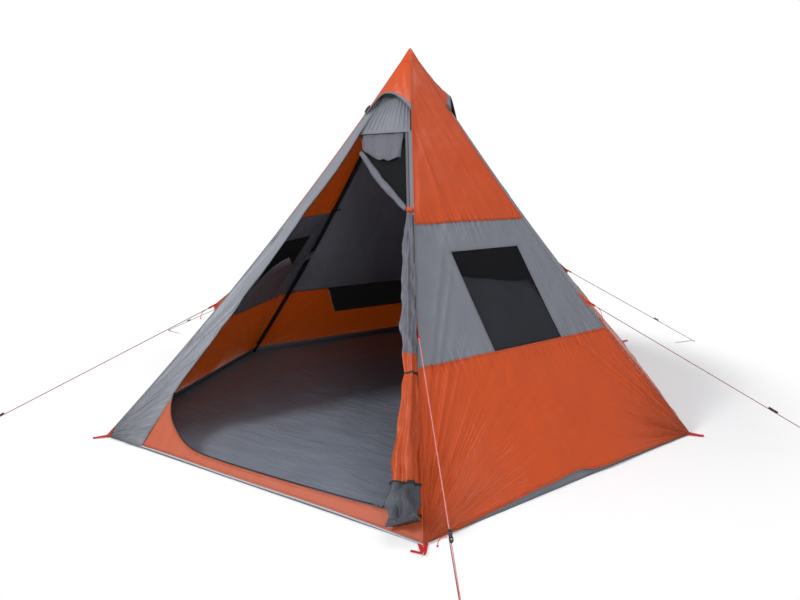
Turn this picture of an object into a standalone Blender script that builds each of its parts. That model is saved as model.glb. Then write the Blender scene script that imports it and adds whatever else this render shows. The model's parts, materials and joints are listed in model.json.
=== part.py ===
"""Pyramid tent on a six-sided base, pitched with its door rolled open.

Metres, +Z up. The door faces -Y. The origin is on the ground, in the middle of the tent's plan.
"""

import math

import bmesh
import bpy
from mathutils import Matrix, Vector

# Plan and height of the canopy
peak_height = 2.18
door_half_width = 1.04
side_half_width = 1.70
rear_half_width = 0.82
front_depth = 1.57
side_depth = -0.17
rear_depth = -2.08
ridge_bow = 0.054

# Cloth
cloth_thickness = 0.0015
seam_gap = 0.0003
lower_seam_share = 0.262
upper_seam_share = 0.55
panel_top_share = 0.955
cloth_columns = 4
rows_per_ridge = 12

# Groundsheet and its corner loops
sheet_thickness = 0.004
sheet_margin = 0.012
loop_width = 0.03
loop_reach = 0.07

# Windows and vent: their heights are shares of the slant, their margins lie next to the lower seam
window_width = 0.488
window_height_share = 0.2178
window_sill_margin = 0.0043
window_offset = 0.105
vent_top_half_width = 0.532
vent_bottom_half_width = 0.38
vent_height_share = 0.1032
vent_top_margin = 0.0208
cutter_depth = 0.2

# Window covers, folded down on the inside
cover_margin = 0.02
right_cover_share = 0.759
left_cover_share = 0.914
cover_lean = 0.09
cover_lean_power = 4
cover_sag = 0.09
cover_fold = 0.008
cover_folds = 3
cover_columns = 10
cover_rows = 8

# Doorway sill and rounded corner, measured on the door face
doorway_foot_height = 0.072
doorway_level_end = 0.12
doorway_right_foot_height = 0.106
doorway_corner_width = 0.45
doorway_corner_height = 0.26
doorway_right_margin = 0.03

# Doorway edge: shares up the door face's slant, and across its half width
doorway_low_share = 0.134
doorway_high_share = 0.5137
doorway_top_share = 0.7724
doorway_left_foot_share = -0.6971
doorway_left_low_share = -0.6538
doorway_left_high_share = -0.3606
doorway_left_top_share = -0.0962
corner_arc_steps = 8

# Header flap, inner mesh door and rolled outer door
header_drop = 0.18
header_overlap = 0.04
pole_margin = 0.034
hem_radius = 0.016
hem_left_share = 0.724
hem_left_margin = 0.0514
hem_right_share = 0.5863
hem_right_margin = 0.0634
hem_steps = 6
roll_top_share = 0.552
roll_foot_share = 0.045
roll_radius = 0.033
roll_swell = 0.012
roll_swell_share = 0.16
roll_swell_reach_share = 0.11
roll_lean = 0.35
roll_lobe_depth_share = 0.14
roll_clearance = 0.003
roll_lobes = 5
roll_twist = 9.0
roll_rings = 30
roll_sides = 20
tie_share = 0.275
tie_pull_share = 0.04
roll_top_pinch = 0.4
tie_width = 0.014
tie_radius = 0.026
tie_thickness = 0.002

# Door zip slider
slider_length = 0.024
slider_width = 0.012
slider_thickness = 0.006
slider_standoff = 0.0008
slider_place_share = 0.7692
pull_length = 0.03
pull_width = 0.006
pull_thickness = 0.002

# Hoods over the three door-type faces, and the cap on the peak
hood_foot_share = 0.83
hood_top_share = 0.952
hood_swell = 0.055
hood_lift = 0.10
hood_columns = 14
hood_rows = 6
cap_rise = 0.006

# Pole frame
pole_radius = 0.0095
pole_inset = 0.024
pole_top_share = 0.90
elbow_share = 0.925
pole_points = 12
arm_radius = 0.0115
arm_start_share = 0.5
hub_radius = 0.036
hub_height = 0.044
hub_drop = 0.165
hub_sides = 24

# Guy tabs on the ridges
tab_foot_share = 0.318
tab_top_share = 0.370
tab_reach = 0.058
tab_thickness = 0.003
strap_length = 0.035
strap_width = 0.012

# Guy lines, their adjusters and pegs
cord_radius = 0.002
cord_points = 24
adjuster_length = 0.05
adjuster_width = 0.016
adjuster_thickness = 0.007
adjuster_bore_radius = 0.0024
peg_wire_radius = 0.003
peg_length = 0.18
peg_hook_radius = 0.012
peg_hook_turn_share = 0.625
peg_clearance = 0.0004
peg_arc_steps = 8

# Where each pegged guy line meets the ground, and how far down it the adjuster sits
guy_lines = {
    "front_right": {"peg": (1.6875, 2.334), "adjuster_share": 0.62},
    "side_right": {"peg": (2.43, -0.24), "adjuster_share": 0.72},
    "back_right": {"peg": (1.317, -2.405), "adjuster_share": 0.68},
    "side_left": {"peg": (-2.953, -0.314), "adjuster_share": 0.80},
    "front_left": {"peg": (-1.545, 2.335), "adjuster_share": 0.72},
}

colours = {
    "orange_cloth": ((0.58, 0.095, 0.03), 0.75, 0.0),
    "grey_cloth": ((0.2, 0.21, 0.25), 0.8, 0.0),
    "pale_grey_cloth": ((0.3, 0.31, 0.34), 0.8, 0.0),
    "floor_cloth": ((0.1, 0.105, 0.115), 0.85, 0.0),
    "dark_mesh": ((0.05, 0.05, 0.055), 0.9, 0.0),
    "steel_tube": ((0.05, 0.055, 0.06), 0.4, 0.6),
    "black_plastic": ((0.02, 0.02, 0.02), 0.5, 0.0),
    "flecked_cord": ((0.35, 0.03, 0.04), 0.8, 0.0),
    "bright_wire": ((0.6, 0.6, 0.62), 0.3, 1.0),
}

corner_order = ("front_left", "front_right", "side_right", "back_right", "back_left", "side_left")
corner_plan = {
    "front_left": (-door_half_width, front_depth),
    "front_right": (door_half_width, front_depth),
    "side_right": (side_half_width, side_depth),
    "back_right": (rear_half_width, rear_depth),
    "back_left": (-rear_half_width, rear_depth),
    "side_left": (-side_half_width, side_depth),
}
face_corners = {
    "door": ("front_left", "front_right"),
    "right": ("front_right", "side_right"),
    "back_right": ("side_right", "back_right"),
    "rear": ("back_right", "back_left"),
    "back_left": ("back_left", "side_left"),
    "left": ("side_left", "front_left"),
}


def outward(corner):
    """Level unit vector from the peak's foot towards a corner."""
    across, depth = corner_plan[corner]
    return Vector((across, -depth, 0)).normalized()


def loop_end_reach(corner):
    """How far forward a corner and its loop reach from the peak's foot."""
    across, depth = corner_plan[corner]
    half_width_share = abs(outward(corner).x)
    return depth * (1 + sheet_margin / math.hypot(across, depth)) + math.copysign(
        loop_reach * abs(outward(corner).y) + 0.5 * loop_width * half_width_share, depth
    )


# The peak stands in front of the middle, so that the plan is centred on the origin
peak_y = 0.5 * (loop_end_reach("front_right") + loop_end_reach("back_right"))
peak_foot = Vector((0, peak_y, 0))
peak = Vector((0, peak_y, peak_height))


def plan_point(across, depth):
    """Point on the ground from its place beside and in front of the peak's foot."""
    return Vector((across, peak_y - depth, 0))


def ridge_point(corner, share, inset=0.0):
    """Point on a ridge, from its corner at 0 to the peak at 1, moved inward by inset."""
    across, depth = corner_plan[corner]
    reach = math.hypot(across, depth)
    slope = math.hypot(reach, peak_height)
    inward = inset + ridge_bow * 4 * share * (1 - share)
    radius = reach * (1 - share) - inward * peak_height / slope
    height = peak_height * share - inward * reach / slope
    return peak_foot + outward(corner) * radius + Vector((0, 0, height))


def face_matrix(face):
    """Frame of a face: X along its foot, Y up the slope, Z outward, origin at mid foot."""
    left, right = (plan_point(*corner_plan[name]) for name in face_corners[face])
    along = (right - left).normalized()
    out = along.cross(peak - left).normalized()
    up = out.cross(along)
    middle = 0.5 * (left + right)
    return Matrix(
        (
            (along.x, up.x, out.x, middle.x),
            (along.y, up.y, out.y, middle.y),
            (along.z, up.z, out.z, middle.z),
            (0, 0, 0, 1),
        )
    )


def face_point(face, across_share, share, inset=0.0, margin=0.0):
    """Point on a face's ruled surface, from its left ridge at 0 to its right ridge at 1."""
    left_name, right_name = face_corners[face]
    left = ridge_point(left_name, share)
    right = ridge_point(right_name, share)
    width = (right - left).length
    edge = (0.5 * seam_gap + margin) / width
    place = edge + across_share * (1 - 2 * edge)
    inward = face_matrix(face).to_3x3() @ Vector((0, 0, -inset))
    return left.lerp(right, place) + inward


def slant(face):
    """Length of a face from the middle of its foot to the peak."""
    return (face_matrix(face).inverted() @ peak).y


def surface_point(face, x, y, inset=0.0):
    """Point on a face's bowed cloth from its place in the face's own frame, moved inward."""
    left_name, right_name = face_corners[face]
    matrix = face_matrix(face)
    local = matrix.inverted()
    share = y / slant(face)
    for _ in range(2):
        left = local @ ridge_point(left_name, share)
        right = local @ ridge_point(right_name, share)
        place = (x - left.x) / (right.x - left.x)
        found = left.lerp(right, place)
        share += (y - found.y) / slant(face)
    return matrix @ Vector((x, y, found.z - inset))


def clear_scene():
    for item in list(bpy.data.objects):
        bpy.data.objects.remove(item)


def make_collection(name):
    group = bpy.data.collections.new(name)
    bpy.context.scene.collection.children.link(group)
    return group


def make_materials():
    made = {}
    for name, (colour, roughness, metallic) in colours.items():
        material = bpy.data.materials.new(name)
        material.use_nodes = True
        shader = material.node_tree.nodes["Principled BSDF"]
        shader.inputs["Base Color"].default_value = (*colour, 1)
        shader.inputs["Roughness"].default_value = roughness
        shader.inputs["Metallic"].default_value = metallic
        made[name] = material
    return made


clear_scene()
parts = make_collection("pyramid_tent")
cutters = make_collection("cutters")
materials = make_materials()


def add_part(name, data, material):
    item = bpy.data.objects.new(name, data)
    parts.objects.link(item)
    data.materials.clear()
    data.materials.append(materials[material])
    return item


def add_cutter(name, data):
    item = bpy.data.objects.new(name, data)
    cutters.objects.link(item)
    item.hide_render = True
    item.display_type = "WIRE"
    return item


def mesh_from(working, name):
    bmesh.ops.recalc_face_normals(working, faces=working.faces)
    mesh = bpy.data.meshes.new(name)
    working.to_mesh(mesh)
    working.free()
    return mesh


def thicken(item, thickness=cloth_thickness):
    modifier = item.modifiers.new("cloth", "SOLIDIFY")
    modifier.thickness = thickness
    modifier.offset = 1
    modifier.use_even_offset = True


def combine(item, other, operation):
    modifier = item.modifiers.new(operation.lower(), "BOOLEAN")
    modifier.operation = operation
    modifier.object = other


def grid_mesh(name, columns, rows, place):
    """Open grid whose points are placed by a function of two shares from 0 to 1."""
    working = bmesh.new()
    bmesh.ops.create_grid(working, x_segments=columns, y_segments=rows, size=0.5)
    for vertex in working.verts:
        vertex.co = place(vertex.co.x + 0.5, vertex.co.y + 0.5)
    mesh = bpy.data.meshes.new(name)
    working.to_mesh(mesh)
    working.free()
    return mesh


def add_cloth(name, face, foot_share, top_share, material, inset=0.0, margin=0.0):
    """Band of a face between two heights, one cloth thick, standing outside its own surface."""
    rows = max(1, round((top_share - foot_share) * rows_per_ridge))

    def place(across, up):
        share = foot_share + up * (top_share - foot_share)
        return face_point(face, across, share, inset, margin)

    item = add_part(name, grid_mesh(name, cloth_columns, rows, place), material)
    thicken(item)
    return item


def add_prism(name, face, outline, grow=0.0):
    """Cutter that stands through a face, from an outline in the face's own plane."""
    centre = sum((Vector(point) for point in outline), Vector((0, 0))) / len(outline)
    curve = bpy.data.curves.new(name, "CURVE")
    curve.dimensions = "2D"
    curve.fill_mode = "BOTH"
    curve.extrude = cutter_depth
    line = curve.splines.new("POLY")
    line.points.add(len(outline) - 1)
    for point, place in zip(line.points, outline):
        away = (Vector(place) - centre).normalized() * grow
        point.co = (place[0] + away.x, place[1] + away.y, 0, 1)
    line.use_cyclic_u = True
    return as_cutter(name, curve, face_matrix(face))


def solid_mesh(name, curve):
    """Closed mesh of a curve, with its caps welded."""
    item = bpy.data.objects.new(name, curve)
    parts.objects.link(item)
    found = item.evaluated_get(bpy.context.evaluated_depsgraph_get())
    mesh = bpy.data.meshes.new_from_object(found)
    bpy.data.objects.remove(item)
    working = bmesh.new()
    working.from_mesh(mesh)
    bmesh.ops.remove_doubles(working, verts=working.verts, dist=0.1 * seam_gap)
    bmesh.ops.recalc_face_normals(working, faces=working.faces)
    working.to_mesh(mesh)
    working.free()
    return mesh


def as_cutter(name, curve, matrix):
    item = add_cutter(name, solid_mesh(name, curve))
    item.matrix_world = matrix
    return item


def tube_curve(name, points, radius, resolution=2, cyclic=False):
    curve = bpy.data.curves.new(name, "CURVE")
    curve.dimensions = "3D"
    curve.bevel_depth = radius
    curve.bevel_resolution = resolution
    curve.use_fill_caps = not cyclic
    line = curve.splines.new("POLY")
    line.points.add(len(points) - 1)
    for point, place in zip(line.points, points):
        point.co = (*place, 1)
    line.use_cyclic_u = cyclic
    return curve


def box_mesh(name, size, matrix):
    working = bmesh.new()
    bmesh.ops.create_cube(working, size=1, matrix=matrix @ Matrix.Diagonal((*size, 1)))
    return mesh_from(working, name)


def frame_at(origin, along, up):
    """Matrix with X along a direction and Z as near as can be to up."""
    x_axis = along.normalized()
    y_axis = up.cross(x_axis).normalized()
    z_axis = x_axis.cross(y_axis)
    return Matrix(
        (
            (x_axis.x, y_axis.x, z_axis.x, origin.x),
            (x_axis.y, y_axis.y, z_axis.y, origin.y),
            (x_axis.z, y_axis.z, z_axis.z, origin.z),
            (0, 0, 0, 1),
        )
    )


up_axis = Vector((0, 0, 1))
standoff = cloth_thickness + 3 * seam_gap
cord_end_height = 2 * peg_wire_radius + peg_clearance + cord_radius + seam_gap
foot_share = (sheet_thickness + 3 * seam_gap) / peak_height
seam_share = seam_gap / math.hypot(side_half_width, peak_height)


def make_groundsheet():
    """Floor with a webbing loop at each corner, in one outline."""
    rim = []
    for corner in corner_order:
        across, depth = corner_plan[corner]
        rim.append(plan_point(across, depth) + outward(corner) * sheet_margin)
    outline = []
    for index, corner in enumerate(corner_order):
        place = rim[index]
        out = outward(corner)
        side = up_axis.cross(out)
        before = (rim[index - 1] - place).normalized()
        after = (rim[(index + 1) % len(rim)] - place).normalized()
        for edge in (before, after):
            half = math.copysign(0.5 * loop_width, edge.dot(side))
            neck = place + edge * (half / edge.dot(side))
            end = place + out * loop_reach + side * half
            outline.extend((neck, end) if edge is before else (end, neck))
    curve = bpy.data.curves.new("groundsheet", "CURVE")
    curve.dimensions = "2D"
    curve.fill_mode = "BOTH"
    curve.extrude = 0.5 * sheet_thickness
    line = curve.splines.new("POLY")
    line.points.add(len(outline) - 1)
    for point, place in zip(line.points, outline):
        point.co = (*place, 1)
    line.use_cyclic_u = True
    mesh = solid_mesh("groundsheet", curve)
    mesh.transform(Matrix.Translation((0, 0, 0.5 * sheet_thickness)))
    add_part("groundsheet", mesh, "floor_cloth")


def window_foot(face):
    return lower_seam_share * slant(face) + window_sill_margin


def window_outline(face, offset):
    left = offset - 0.5 * window_width
    right = offset + 0.5 * window_width
    foot = window_foot(face)
    top = foot + window_height_share * slant(face)
    return ((left, foot), (right, foot), (right, top), (left, top))


def vent_outline(face):
    top = lower_seam_share * slant(face) - vent_top_margin
    foot = top - vent_height_share * slant(face)
    return (
        (-vent_bottom_half_width, foot),
        (vent_bottom_half_width, foot),
        (vent_top_half_width, top),
        (-vent_top_half_width, top),
    )


def add_opening(panel, mesh_name, face, shares, outline):
    """Cuts an opening in a panel and fills it with a mesh panel of its own."""
    hole = add_prism(f"{mesh_name}_hole", face, outline)
    combine(panel, hole, "DIFFERENCE")
    screen = add_cloth(mesh_name, face, *shares, "dark_mesh")
    combine(screen, add_prism(f"{mesh_name}_outline", face, outline, -2 * seam_gap), "INTERSECT")


def make_window_face(face, offset=None, cover_share=None):
    """Orange, grey and orange bands, with a mesh window in the grey one where it has an offset."""
    low = (foot_share, lower_seam_share - seam_share)
    middle = (lower_seam_share, upper_seam_share - seam_share)
    high = (upper_seam_share, panel_top_share)
    add_cloth(f"{face}_lower_band", face, *low, "orange_cloth")
    panel = add_cloth(f"{face}_middle_panel", face, *middle, "grey_cloth")
    add_cloth(f"{face}_upper_panel", face, *high, "orange_cloth")
    if offset is not None:
        add_opening(panel, f"{face}_window_mesh", face, middle, window_outline(face, offset))
        make_window_cover(face, offset, cover_share)


def make_window_cover(face, offset, share):
    """Inner window cover, unzipped at the top: its upper edge leans inward and sags."""
    width = window_width + 2 * cover_margin
    height = share * window_height_share * slant(face)
    foot = window_foot(face)

    def place(across, up):
        edge = 2 * across - 1
        sag = cover_sag * (1 - edge * edge) * up * up
        fold = cover_fold * math.sin(cover_folds * math.pi * across) * up * up
        x = offset + 0.5 * width * edge
        y = foot + height * up - sag
        inset = standoff + cover_lean * up**cover_lean_power + fold
        return surface_point(face, x, y, inset)

    name = f"{face}_window_cover"
    cover = add_part(name, grid_mesh(name, cover_columns, cover_rows, place), "grey_cloth")
    thicken(cover)
    pivot = surface_point(face, offset, foot, standoff)
    cover.data.transform(Matrix.Translation(-pivot))
    cover.location = pivot


def make_hood_face(face, with_vent):
    """Orange foot band under one tall grey panel; the hood covers its top."""
    low = (foot_share, lower_seam_share - seam_share)
    band = add_cloth(f"{face}_lower_band", face, *low, "orange_cloth")
    add_cloth(f"{face}_panel", face, lower_seam_share, panel_top_share, "grey_cloth")
    if with_vent:
        add_opening(band, f"{face}_vent_mesh", face, low, vent_outline(face))


def make_hood(face):
    """Stiffened hood: cones from the peak down to an arched edge that stands off the face."""
    left_name, right_name = face_corners[face]
    left = ridge_point(left_name, hood_foot_share)
    right = ridge_point(right_name, hood_foot_share)
    axes = face_matrix(face).to_3x3()
    out = axes @ Vector((0, 0, 1))
    slope = axes @ Vector((0, 1, 0))
    start = (1 - hood_top_share) / (1 - hood_foot_share)

    def place(across, up):
        arch = math.sin(math.pi * across)
        edge = left.lerp(right, across) + arch * (out * hood_swell + slope * hood_lift)
        reach = 1 + up * (start - 1)
        return peak.lerp(edge, reach) + out * (cloth_thickness + 2 * seam_gap)

    name = f"{face}_hood"
    thicken(add_part(name, grid_mesh(name, hood_columns, hood_rows, place), "orange_cloth"))


def make_peak_cap():
    """Six-sided cap of cloth on the very tip."""
    working = bmesh.new()
    bmesh.ops.create_cone(
        working, cap_ends=False, segments=len(corner_order), radius1=1, radius2=0, depth=2
    )
    tip = peak + up_axis * cap_rise
    ring = sorted(
        (vertex for vertex in working.verts if vertex.co.z < 0),
        key=lambda vertex: math.atan2(vertex.co.y, vertex.co.x),
    )
    corners = sorted(corner_order, key=lambda name: math.atan2(outward(name).y, outward(name).x))
    for vertex in working.verts:
        if vertex.co.z > 0:
            vertex.co = tip
    for vertex, corner in zip(ring, corners):
        vertex.co = ridge_point(corner, panel_top_share + 2 * seam_share)
    bmesh.ops.remove_doubles(working, verts=working.verts, dist=seam_gap)
    thicken(add_part("peak_cap", mesh_from(working, "peak_cap"), "orange_cloth"))


def doorway_left_edge(height):
    """Left edge of the doorway at a height up the door face."""
    share = height / slant("door")
    places = (
        (0, doorway_left_foot_share),
        (doorway_low_share, doorway_left_low_share),
        (doorway_high_share, doorway_left_high_share),
        (doorway_top_share, doorway_left_top_share),
    )
    for (low, low_x), (high, high_x) in zip(places, places[1:]):
        if share <= high:
            break
    return door_half_width * (low_x + (share - low) / (high - low) * (high_x - low_x))


def doorway_corner():
    """Rounded lower left corner of the doorway, from its side down to its foot."""
    top = doorway_foot_height + doorway_corner_height
    side = doorway_left_edge(top)
    points = []
    for step in range(corner_arc_steps + 1):
        angle = 0.5 * math.pi * step / corner_arc_steps
        x = side + doorway_corner_width * (1 - math.cos(angle))
        points.append((x, top - doorway_corner_height * math.sin(angle)))
    return points


def make_door_face():
    """Grey side strips, orange sill and grey crown round the open doorway."""
    face = "door"
    height = slant(face)
    beyond = door_half_width + cutter_depth
    below = -cutter_depth
    above = doorway_top_share * height + cutter_depth
    corner = doorway_corner()
    side_shares = (foot_share, doorway_top_share - seam_share)

    knots = (below, doorway_low_share * height, doorway_high_share * height, above)
    edge = [(doorway_left_edge(y), y) for y in knots]
    strip = add_cloth("door_left_strip", face, *side_shares, "pale_grey_cloth")
    outline = [(-beyond, below), *edge, (-beyond, above)]
    combine(strip, add_prism("left_strip_outline", face, outline), "INTERSECT")

    low = doorway_right_foot_height + seam_gap
    low_x = door_half_width * (1 - low / height) - doorway_right_margin
    high_x = door_half_width * (1 - above / height) - doorway_right_margin
    strip = add_cloth("door_right_strip", face, *side_shares, "pale_grey_cloth")
    outline = [(low_x, low), (beyond, low), (beyond, above), (high_x, above)]
    combine(strip, add_prism("right_strip_outline", face, outline), "INTERSECT")

    sill = add_cloth("door_sill", face, foot_share, lower_seam_share, "orange_cloth")
    side_top = corner[0][1]
    outline = [
        (doorway_left_edge(0) + seam_gap, below),
        (beyond, below),
        (beyond, doorway_right_foot_height),
        (door_half_width - doorway_right_margin, doorway_right_foot_height),
        (doorway_level_end, doorway_foot_height),
        *reversed(corner[1:]),
        (doorway_left_edge(side_top) + seam_gap, side_top),
        (doorway_left_edge(0) + seam_gap, 0),
    ]
    combine(sill, add_prism("sill_outline", face, outline), "INTERSECT")

    add_cloth("door_crown", face, doorway_top_share, panel_top_share, "pale_grey_cloth")
    flap_foot = doorway_top_share - header_drop / height
    flap = (flap_foot, doorway_top_share + header_overlap / height)
    add_cloth("door_header_flap", face, *flap, "grey_cloth", standoff, pole_margin)
    make_mesh_door(face, flap_foot)


def make_mesh_door(face, flap_foot):
    """Inner mesh door, let down from the left: a mesh corner hangs over its rolled hem."""
    height = slant(face)
    inset = standoff + hem_radius + 2 * seam_gap
    low = (hem_right_share - hem_radius / height, flap_foot + header_overlap / height)
    screen = add_cloth("mesh_door", face, *low, "dark_mesh", inset, pole_margin)
    left_height = hem_left_share * height
    ridge_end = face_matrix(face).inverted() @ ridge_point("front_right", hem_right_share)
    start = Vector((doorway_left_edge(left_height) + hem_left_margin, left_height))
    end = Vector((ridge_end.x - hem_right_margin, hem_right_share * height))
    outline = [
        tuple(start),
        tuple(end),
        (door_half_width * (1 - end.y / height), end.y),
        (door_half_width * (1 - start.y / height), start.y),
    ]
    combine(screen, add_prism("mesh_door_outline", face, outline), "INTERSECT")
    points = []
    for step in range(hem_steps + 1):
        place = start.lerp(end, step / hem_steps)
        points.append(surface_point(face, place.x, place.y, inset))
    hem = solid_mesh("mesh_door_hem", tube_curve("mesh_door_hem", points, hem_radius))
    combine(screen, add_cutter("mesh_door_hem", hem), "UNION")


def roll_girth(share):
    """Radius of the rolled door: drawn in at its tie and at its top, fuller low down."""
    near_tie = math.exp(-(((share - tie_share) / tie_pull_share) ** 2))
    near_top = math.exp(-(((share - roll_top_share) / tie_pull_share) ** 2))
    near_foot = math.exp(-(((share - roll_swell_share) / roll_swell_reach_share) ** 2))
    full = roll_radius + roll_swell * near_foot
    waist = full - (full - tie_radius) * near_tie
    return waist * (1 - roll_top_pinch * near_top)


def roll_centre(share):
    """Middle of the rolled door, which lies along the front right pole."""
    reach = pole_radius + roll_clearance + roll_girth(share) * (1 + roll_lobe_depth_share)
    away = Vector((-math.cos(roll_lean), 0, -math.sin(roll_lean)))
    axes = face_matrix("door").to_3x3()
    return ridge_point("front_right", share, pole_inset) + axes @ away * reach


def make_door_roll():
    """Outer door, gathered in folds beside the doorway and held by a tie."""
    along = (roll_centre(roll_top_share) - roll_centre(roll_foot_share)).normalized()
    frame = frame_at(Vector(), along, up_axis)
    side = frame.to_3x3() @ Vector((0, 1, 0))
    front = frame.to_3x3() @ Vector((0, 0, 1))
    working = bmesh.new()
    bmesh.ops.create_cone(
        working, cap_ends=True, segments=roll_sides, radius1=1, radius2=1, depth=1
    )
    vertical = [edge for edge in working.edges if abs(edge.verts[0].co.z - edge.verts[1].co.z) > 0.5]
    bmesh.ops.subdivide_edges(working, edges=vertical, cuts=roll_rings, use_grid_fill=True)
    for vertex in working.verts:
        up = vertex.co.z + 0.5
        share = roll_foot_share + up * (roll_top_share - roll_foot_share)
        angle = math.atan2(vertex.co.y, vertex.co.x)
        twist = roll_twist * share
        lobe = math.cos(roll_lobes * angle + twist)
        radius = roll_girth(share) * (1 + roll_lobe_depth_share * lobe)
        spread = side * math.cos(angle) + front * math.sin(angle)
        vertex.co = roll_centre(share) + spread * radius
    roll = add_part("door_roll", mesh_from(working, "door_roll"), "pale_grey_cloth")
    roll.data.shade_smooth()
    tie_frame = frame_at(roll_centre(tie_share), along, up_axis)
    make_tie(tie_frame)
    groove = ring_mesh("tie_groove", tie_frame, tie_radius + 3 * seam_gap, tie_radius + roll_swell)
    combine(roll, add_cutter("tie_groove", groove), "DIFFERENCE")


def ring_mesh(name, frame, inner, outer, width=None):
    """Flat ring round the X axis of a frame."""
    half = 0.5 * (width or tie_width + 4 * seam_gap)
    profile = ((inner, -half), (outer, -half), (outer, half), (inner, half))
    working = bmesh.new()
    corners = [working.verts.new(frame @ Vector((x, 0, radius))) for radius, x in profile]
    edges = [working.edges.new((corners[i], corners[(i + 1) % 4])) for i in range(4)]
    axis = frame.to_3x3() @ Vector((1, 0, 0))
    bmesh.ops.spin(
        working, geom=corners + edges, cent=frame.translation, axis=axis, angle=2 * math.pi,
        steps=roll_sides, use_merge=True,
    )
    bmesh.ops.remove_doubles(working, verts=working.verts, dist=0.1 * seam_gap)
    return mesh_from(working, name)


def make_tie(frame):
    inner = tie_radius + 4 * seam_gap
    mesh = ring_mesh("door_tie", frame, inner, inner + tie_thickness, tie_width)
    add_part("door_tie", mesh, "black_plastic")


def make_zip_slider():
    """Slider of the sill zip with its pull, on the outer side of the doorway's foot."""
    matrix = face_matrix("door")
    slider_place = slider_place_share * door_half_width
    share = (slider_place - doorway_level_end) / (door_half_width - doorway_level_end)
    slider_height = doorway_foot_height + share * (doorway_right_foot_height - doorway_foot_height)
    out = cloth_thickness + slider_standoff
    middle = surface_point(
        "door", slider_place, slider_height, -out - 0.5 * slider_thickness
    )
    size = (slider_length, slider_width, slider_thickness)
    frame = matrix.copy()
    frame.translation = middle
    slider = add_part("door_zip_slider", box_mesh("door_zip_slider", size, frame), "black_plastic")
    pull_middle = middle + matrix.to_3x3() @ Vector(
        (-0.5 * (slider_length + pull_length) + 2 * pull_thickness, 0, pull_thickness)
    )
    frame.translation = pull_middle
    pull = box_mesh("slider_pull", (pull_length, pull_width, pull_thickness), frame)
    combine(slider, add_cutter("slider_pull", pull), "UNION")
    slider.data.transform(Matrix.Translation(-middle))
    slider.location = middle


def pole_foot(corner):
    """Share of the ridge at which a pole's foot stands on the groundsheet."""
    reach = math.hypot(*corner_plan[corner])
    flatness = reach / math.hypot(reach, peak_height)
    rise = sheet_thickness + 2 * seam_gap + (pole_radius + pole_inset) * flatness
    return rise / (peak_height - 4 * ridge_bow * flatness)


def make_poles():
    for corner in corner_order:
        points = []
        foot = pole_foot(corner)
        for step in range(pole_points):
            share = foot + (pole_top_share - foot) * step / (pole_points - 1)
            points.append(ridge_point(corner, share, pole_inset))
        curve = tube_curve(f"pole_{corner}", points, pole_radius)
        add_part(f"pole_{corner}", curve, "steel_tube")


def make_hub():
    """Drum under the peak with an arm down to each pole."""
    centre = peak - up_axis * hub_drop
    working = bmesh.new()
    bmesh.ops.create_cone(
        working, cap_ends=True, segments=hub_sides, radius1=hub_radius, radius2=hub_radius,
        depth=hub_height, matrix=Matrix.Translation(centre),
    )
    hub = add_part("hub", mesh_from(working, "hub"), "black_plastic")
    for corner in corner_order:
        end = ridge_point(corner, pole_top_share, pole_inset)
        elbow = ridge_point(corner, elbow_share, pole_inset)
        start = centre + (elbow - centre).normalized() * arm_start_share * hub_radius
        stop = end + (elbow - end).normalized() * 2 * seam_gap
        bend = (start, elbow, stop)
        arm = solid_mesh(f"arm_{corner}", tube_curve(f"arm_{corner}", bend, arm_radius))
        combine(hub, add_cutter(f"arm_{corner}", arm), "UNION")


def tab_tip(corner):
    """Outer end of a guy tab's strap, where its guy line is tied."""
    share = 0.5 * (tab_foot_share + tab_top_share)
    return ridge_point(corner, share) + guy_direction(corner) * (tab_reach + strap_length)


def guy_peg(corner):
    """Place on the ground where a guy line is pegged."""
    if corner in guy_lines:
        return plan_point(*guy_lines[corner]["peg"])
    across, depth = guy_lines["back_right"]["peg"]
    return plan_point(-across, depth)


def guy_direction(corner):
    share = 0.5 * (tab_foot_share + tab_top_share)
    return (guy_peg(corner) - ridge_point(corner, share)).normalized()


def make_tab(corner):
    """Triangle of cloth sewn in the ridge seam, drawn out to a strap at its tip."""
    low = ridge_point(corner, tab_foot_share)
    high = ridge_point(corner, tab_top_share)
    middle = 0.5 * (low + high)
    direction = guy_direction(corner)
    along = (high - low).normalized()
    normal = along.cross(direction).normalized()
    out = normal.cross(along).normalized()
    if out.dot(direction) < 0:
        out = -out
    neck = middle + direction * tab_reach
    end = tab_tip(corner)
    half = 0.5 * strap_width
    across = normal.cross(direction).normalized()
    if across.dot(along) < 0:
        across = -across
    corners = (
        low + out * (cloth_thickness + 2 * seam_gap),
        high + out * (cloth_thickness + 2 * seam_gap),
        neck + across * half,
        end + across * half,
        end - across * half,
        neck - across * half,
    )
    frame = frame_at(middle, along, normal)
    local = frame.inverted()
    curve = bpy.data.curves.new(f"guy_tab_{corner}", "CURVE")
    curve.dimensions = "2D"
    curve.fill_mode = "BOTH"
    curve.extrude = 0.5 * tab_thickness
    line = curve.splines.new("POLY")
    line.points.add(len(corners) - 1)
    for point, place in zip(line.points, corners):
        flat = local @ place
        point.co = (flat.x, flat.y, 0, 1)
    line.use_cyclic_u = True
    mesh = solid_mesh(f"guy_tab_{corner}", curve)
    mesh.transform(frame)
    add_part(f"guy_tab_{corner}", mesh, "orange_cloth")


def guy_ends(corner):
    """Ends of a guy line: at its tab's strap, and in its peg's hook just above the ground."""
    direction = guy_direction(corner)
    start = tab_tip(corner) + direction * 2 * seam_gap
    foot = guy_peg(corner) + up_axis * cord_end_height
    return start, foot


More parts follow.
